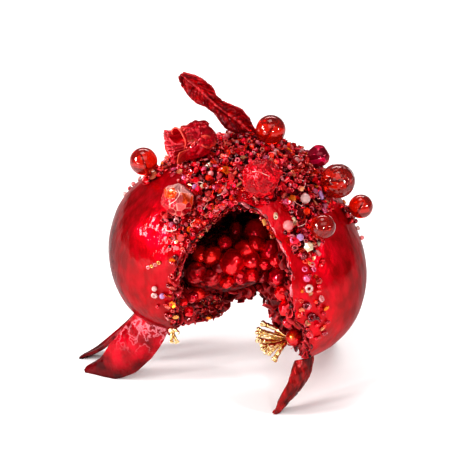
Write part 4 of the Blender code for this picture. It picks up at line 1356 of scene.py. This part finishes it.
def blade(shape, cup, rows, columns, relief):
    """Points of a curved strip along its spine. relief(along, across) lifts it, in millimetres."""
    spine, sides, halves = shape
    line = smooth_through(spine, rows)
    across = smooth_through(sides, rows)
    reach = np.interp(np.linspace(0, 1, rows), np.linspace(0, 1, len(halves)), halves)
    ahead = np.gradient(line, axis=0)
    points = []
    for i in range(rows):
        side = unit(across[i] - ahead[i] * (across[i] @ ahead[i]) / (ahead[i] @ ahead[i]))
        normal = unit(np.cross(ahead[i], side))
        for t in np.linspace(-1, 1, columns):
            lift = cup * reach[i] * (1 - t * t) + relief(i / (rows - 1), t)
            points.append(line[i] + side * t * reach[i] + normal * lift)
    return np.array(points)


def leaf_wrinkle(s, t):
    """0 to 1: irregular wrinkles that slant out from the midrib."""
    slant = s * 17 + 2.5 * abs(t)
    one = abs(wave(slant, t * 2.2, 6))
    two = abs(wave(slant * 2.1, t * 3.5, 2))
    return min(1.0, 1.3 * one + 0.7 * two)


def leaf():
    """The leaf: a sunk, lighter midrib, slanting wrinkles with a painted highlight on their raised parts,
    and a painted highlight along the edge.
    """
    rows, columns = 150, 41

    def relief(s, t):
        rib = 0.75 * math.exp(-((t / 0.1) ** 2)) * (1 - s * 0.6)
        return 0.8 * leaf_wrinkle(s, t) - rib + 0.8 * wave(s * 9, t * 2, 0)

    points = blade((LEAF_SPINE, LEAF_SIDES, LEAF_HALVES), 0.16, rows, columns, relief)
    tints = []
    for s in np.linspace(0, 1, rows):
        for t in np.linspace(-1, 1, columns):
            # Painted highlight and shade: brighter on the raised wrinkles, darker in their creases; the
            # midrib is lighter and the edge has a painted highlight.
            tone = 0.1 + 0.5 * leaf_wrinkle(s, t) + 0.12 * wave(s * 12, t * 3, 4)
            light = math.exp(-((t / 0.05) ** 2)) + 0.7 * abs(t) ** 20
            tints.append((tone + 0.35 * light, 0.04 * light, 0.003 + 0.045 * light))
    faces = grid_faces(rows, columns)
    new_piece("leaf", points, faces, LEAF_RED, ["top_leaf"], "leaf_red", tints=tints, thick=0.7)


def calyx_lobes():
    """The crown's lobes, glossy, with a rolled edge, from the fruit down to their feet."""
    for name, shape in CALYX_LOBES.items():
        wrinkled = name == "calyx_lobe_front"

        def relief(s, t):
            if wrinkled:
                ridge = 0.8 * abs(wave(s * 4, t * 5, 3))
                return ridge + 0.35 * wave(s * 16, t * 9, 1)
            rim = 0.7 * max(abs(t) ** 8, s**16)
            fine = 0.2 * wave(s * 15, t * 6, 2)
            return rim + 0.5 * wave(s * 5, t * 2, 8) + fine

        rows, columns = 70, 23
        points = blade(shape, LOBE_CUP, rows, columns, relief)
        finish = FRONT_LOBE if wrinkled else LOBE_LACQUER
        faces = grid_faces(rows, columns)
        obj = new_piece(f"{name}_skin", points, faces, finish, [name], "red_lacquer", thick=1.5)
        cut(obj, whole_fruit("trim", columns=90, rows=60, growth=0.2))
        bevel = obj.modifiers.new("round", "BEVEL")
        bevel.width = 0.4 * MM
        bevel.segments = 2
        bevel.limit_method = "ANGLE"
        bevel.angle_limit = math.radians(50)
        apply_modifiers(obj)
        for vert in obj.data.vertices:
            vert.co.z = max(vert.co.z, 0.0)
        obj.data.shade_smooth()


def stamens():
    """Gold stamens: bent rods that thicken towards knobbed, forked tips."""
    rng = np.random.default_rng(5)
    for name, (root, root_radius, tips, thickness) in STAMENS.items():
        root = opening_point(*root)
        ball, faces = icosphere(4)
        parts = [(ball * root_radius * 0.8 + root, faces)]
        knob, knob_faces = icosphere(3)
        for number, tip in enumerate(tips):
            tip = opening_point(*tip)
            middle = (root + tip) / 2 + np.array([0, 0, 1.0 * math.cos(number * 1.7)])
            fork = root + (tip - root) * 0.84 + (middle - (root + tip) / 2) * 0.4
            line = smooth_through((root, middle, fork), 20)
            swell = np.linspace(0.68, 1.0, 20) + 0.08 * np.sin(np.arange(20) * 1.4 + number)
            parts.append(tube(line, thickness * swell, 12))
            aside = unit(np.cross(tip - root, VIEW_BACK)) * thickness
            for way in (-1, 1):
                end = tip + aside * way * 0.62 + rng.uniform(-0.25, 0.25, 3)
                prong = (fork - (tip - root) * 0.05, (fork + end) / 2, end)
                parts.append(tube(prong, thickness * np.array((0.8, 0.75, 0.7)), 12))
                parts.append((knob * thickness * 0.82 + end, knob_faces))
        new_piece(f"{name}_gold", *together(parts), GOLD, [name], "gold")


def low_bead():
    """The dark bead beside the left stamens."""
    point, normal = skin_at(-26.2, -43.3)
    ways, faces = sphere_grid(32, 22)
    points = ways * 1.9 + point + normal * 1.2
    tints = np.tile((0.2, 0.0, 0.006), (len(ways), 1))
    new_piece("low_bead", points, faces, BERRY_RED, slot="ruby_glass", tints=tints)


def crown_ball():
    ways, faces = sphere_grid(48, 32)
    points = ways * CROWN_BEAD_RADIUS + opening_point(*CROWN_BEAD_AT)
    points += ways * (0.5 * creases(points, 0.22) - 0.4)[:, None]
    # Painted highlight: an orange glint on the ball's upper front left.
    painted_glint = np.exp(-(((ways - unit((-0.35, -0.75, 0.6))) ** 2).sum(axis=1) / 0.12))
    tints = np.array((0.6, 0.0, 0.008)) + painted_glint[:, None] * np.array((0.35, 0.16, 0.0))
    new_piece("crown_ball", points, faces, BERRY_RED, ["crown_bead"], "ruby_glass", tints=tints)


# Stage


def stage():
    mesh = bpy.data.meshes.new("floor")
    mesh.from_pydata([(-4, -4, 0), (4, -4, 0), (4, 4, 0), (-4, 4, 0)], [], [(0, 1, 2, 3)])
    mesh.materials.append(surface("floor_white", (0.96, 0.955, 0.95), 0.7))
    linked("floor", mesh)


def camera():
    data = bpy.data.cameras.new("camera")
    data.sensor_width = 36.0
    data.lens = data.sensor_width * VIEW_DISTANCE / (PIXELS * PIXEL)
    data.clip_start = 0.01
    data.clip_end = 20.0
    view = linked("camera", data)
    view.location = Vector(place(VIEW_TARGET + VIEW_DISTANCE * VIEW_BACK))
    view.rotation_euler = (math.radians(90) - TILT, 0, 0)
    bpy.context.scene.camera = view


def light(name, at, size, power, towards=(0, 0, 0.07), spread=180):
    data = bpy.data.lights.new(name, "AREA")
    data.shape = "RECTANGLE"
    data.size, data.size_y = size
    data.energy = power
    data.spread = math.radians(spread)
    lamp = linked(name, data)
    lamp.location = at
    lamp.rotation_euler = (Vector(at) - Vector(towards)).to_track_quat("Z", "Y").to_euler()


def lighting():
    world = bpy.data.worlds.new("studio")
    world.use_nodes = True
    sky = world.node_tree.nodes["Background"]
    sky.inputs["Color"].default_value = (1, 1, 1, 1)
    sky.inputs["Strength"].default_value = 0.25
    bpy.context.scene.world = world
    light("window_front", (-0.68, -0.37, 0.38), (0.075, 0.2), 2.9)
    light("window_back", (-0.74, -0.16, 0.45), (0.15, 0.24), 5.4)
    light("low_left", (-0.62, -0.56, 0.17), (0.26, 0.1), 1.7)
    light("overhead", (-0.1, 0.15, 1.4), (0.55, 0.55), 4.5)
    light("fill", (0.1, -0.75, 1.1), (1.2, 0.6), 4.4)
    light("front", (0.2, -0.8, 0.3), (0.05, 0.05), 1.4)
    light("side", (0.6, -0.3, 0.3), (0.05, 0.14), 1.3)
    light("backdrop", (0.0, 1.3, 1.2), (1.4, 0.4), 5.0, (0, 0.7, 0), 80)
    film = bpy.context.scene.view_settings
    film.view_transform = "Standard"
    film.look = "Medium High Contrast"
    film.exposure = -0.2


torn_lining(fruit())
torn_rim()
berries()
crust()
single_beads()
wires()
glass_balls()
crinkled_balls()
bud()
leaf()
calyx_lobes()
stamens()
low_bead()
crown_ball()
stage()
camera()
lighting()
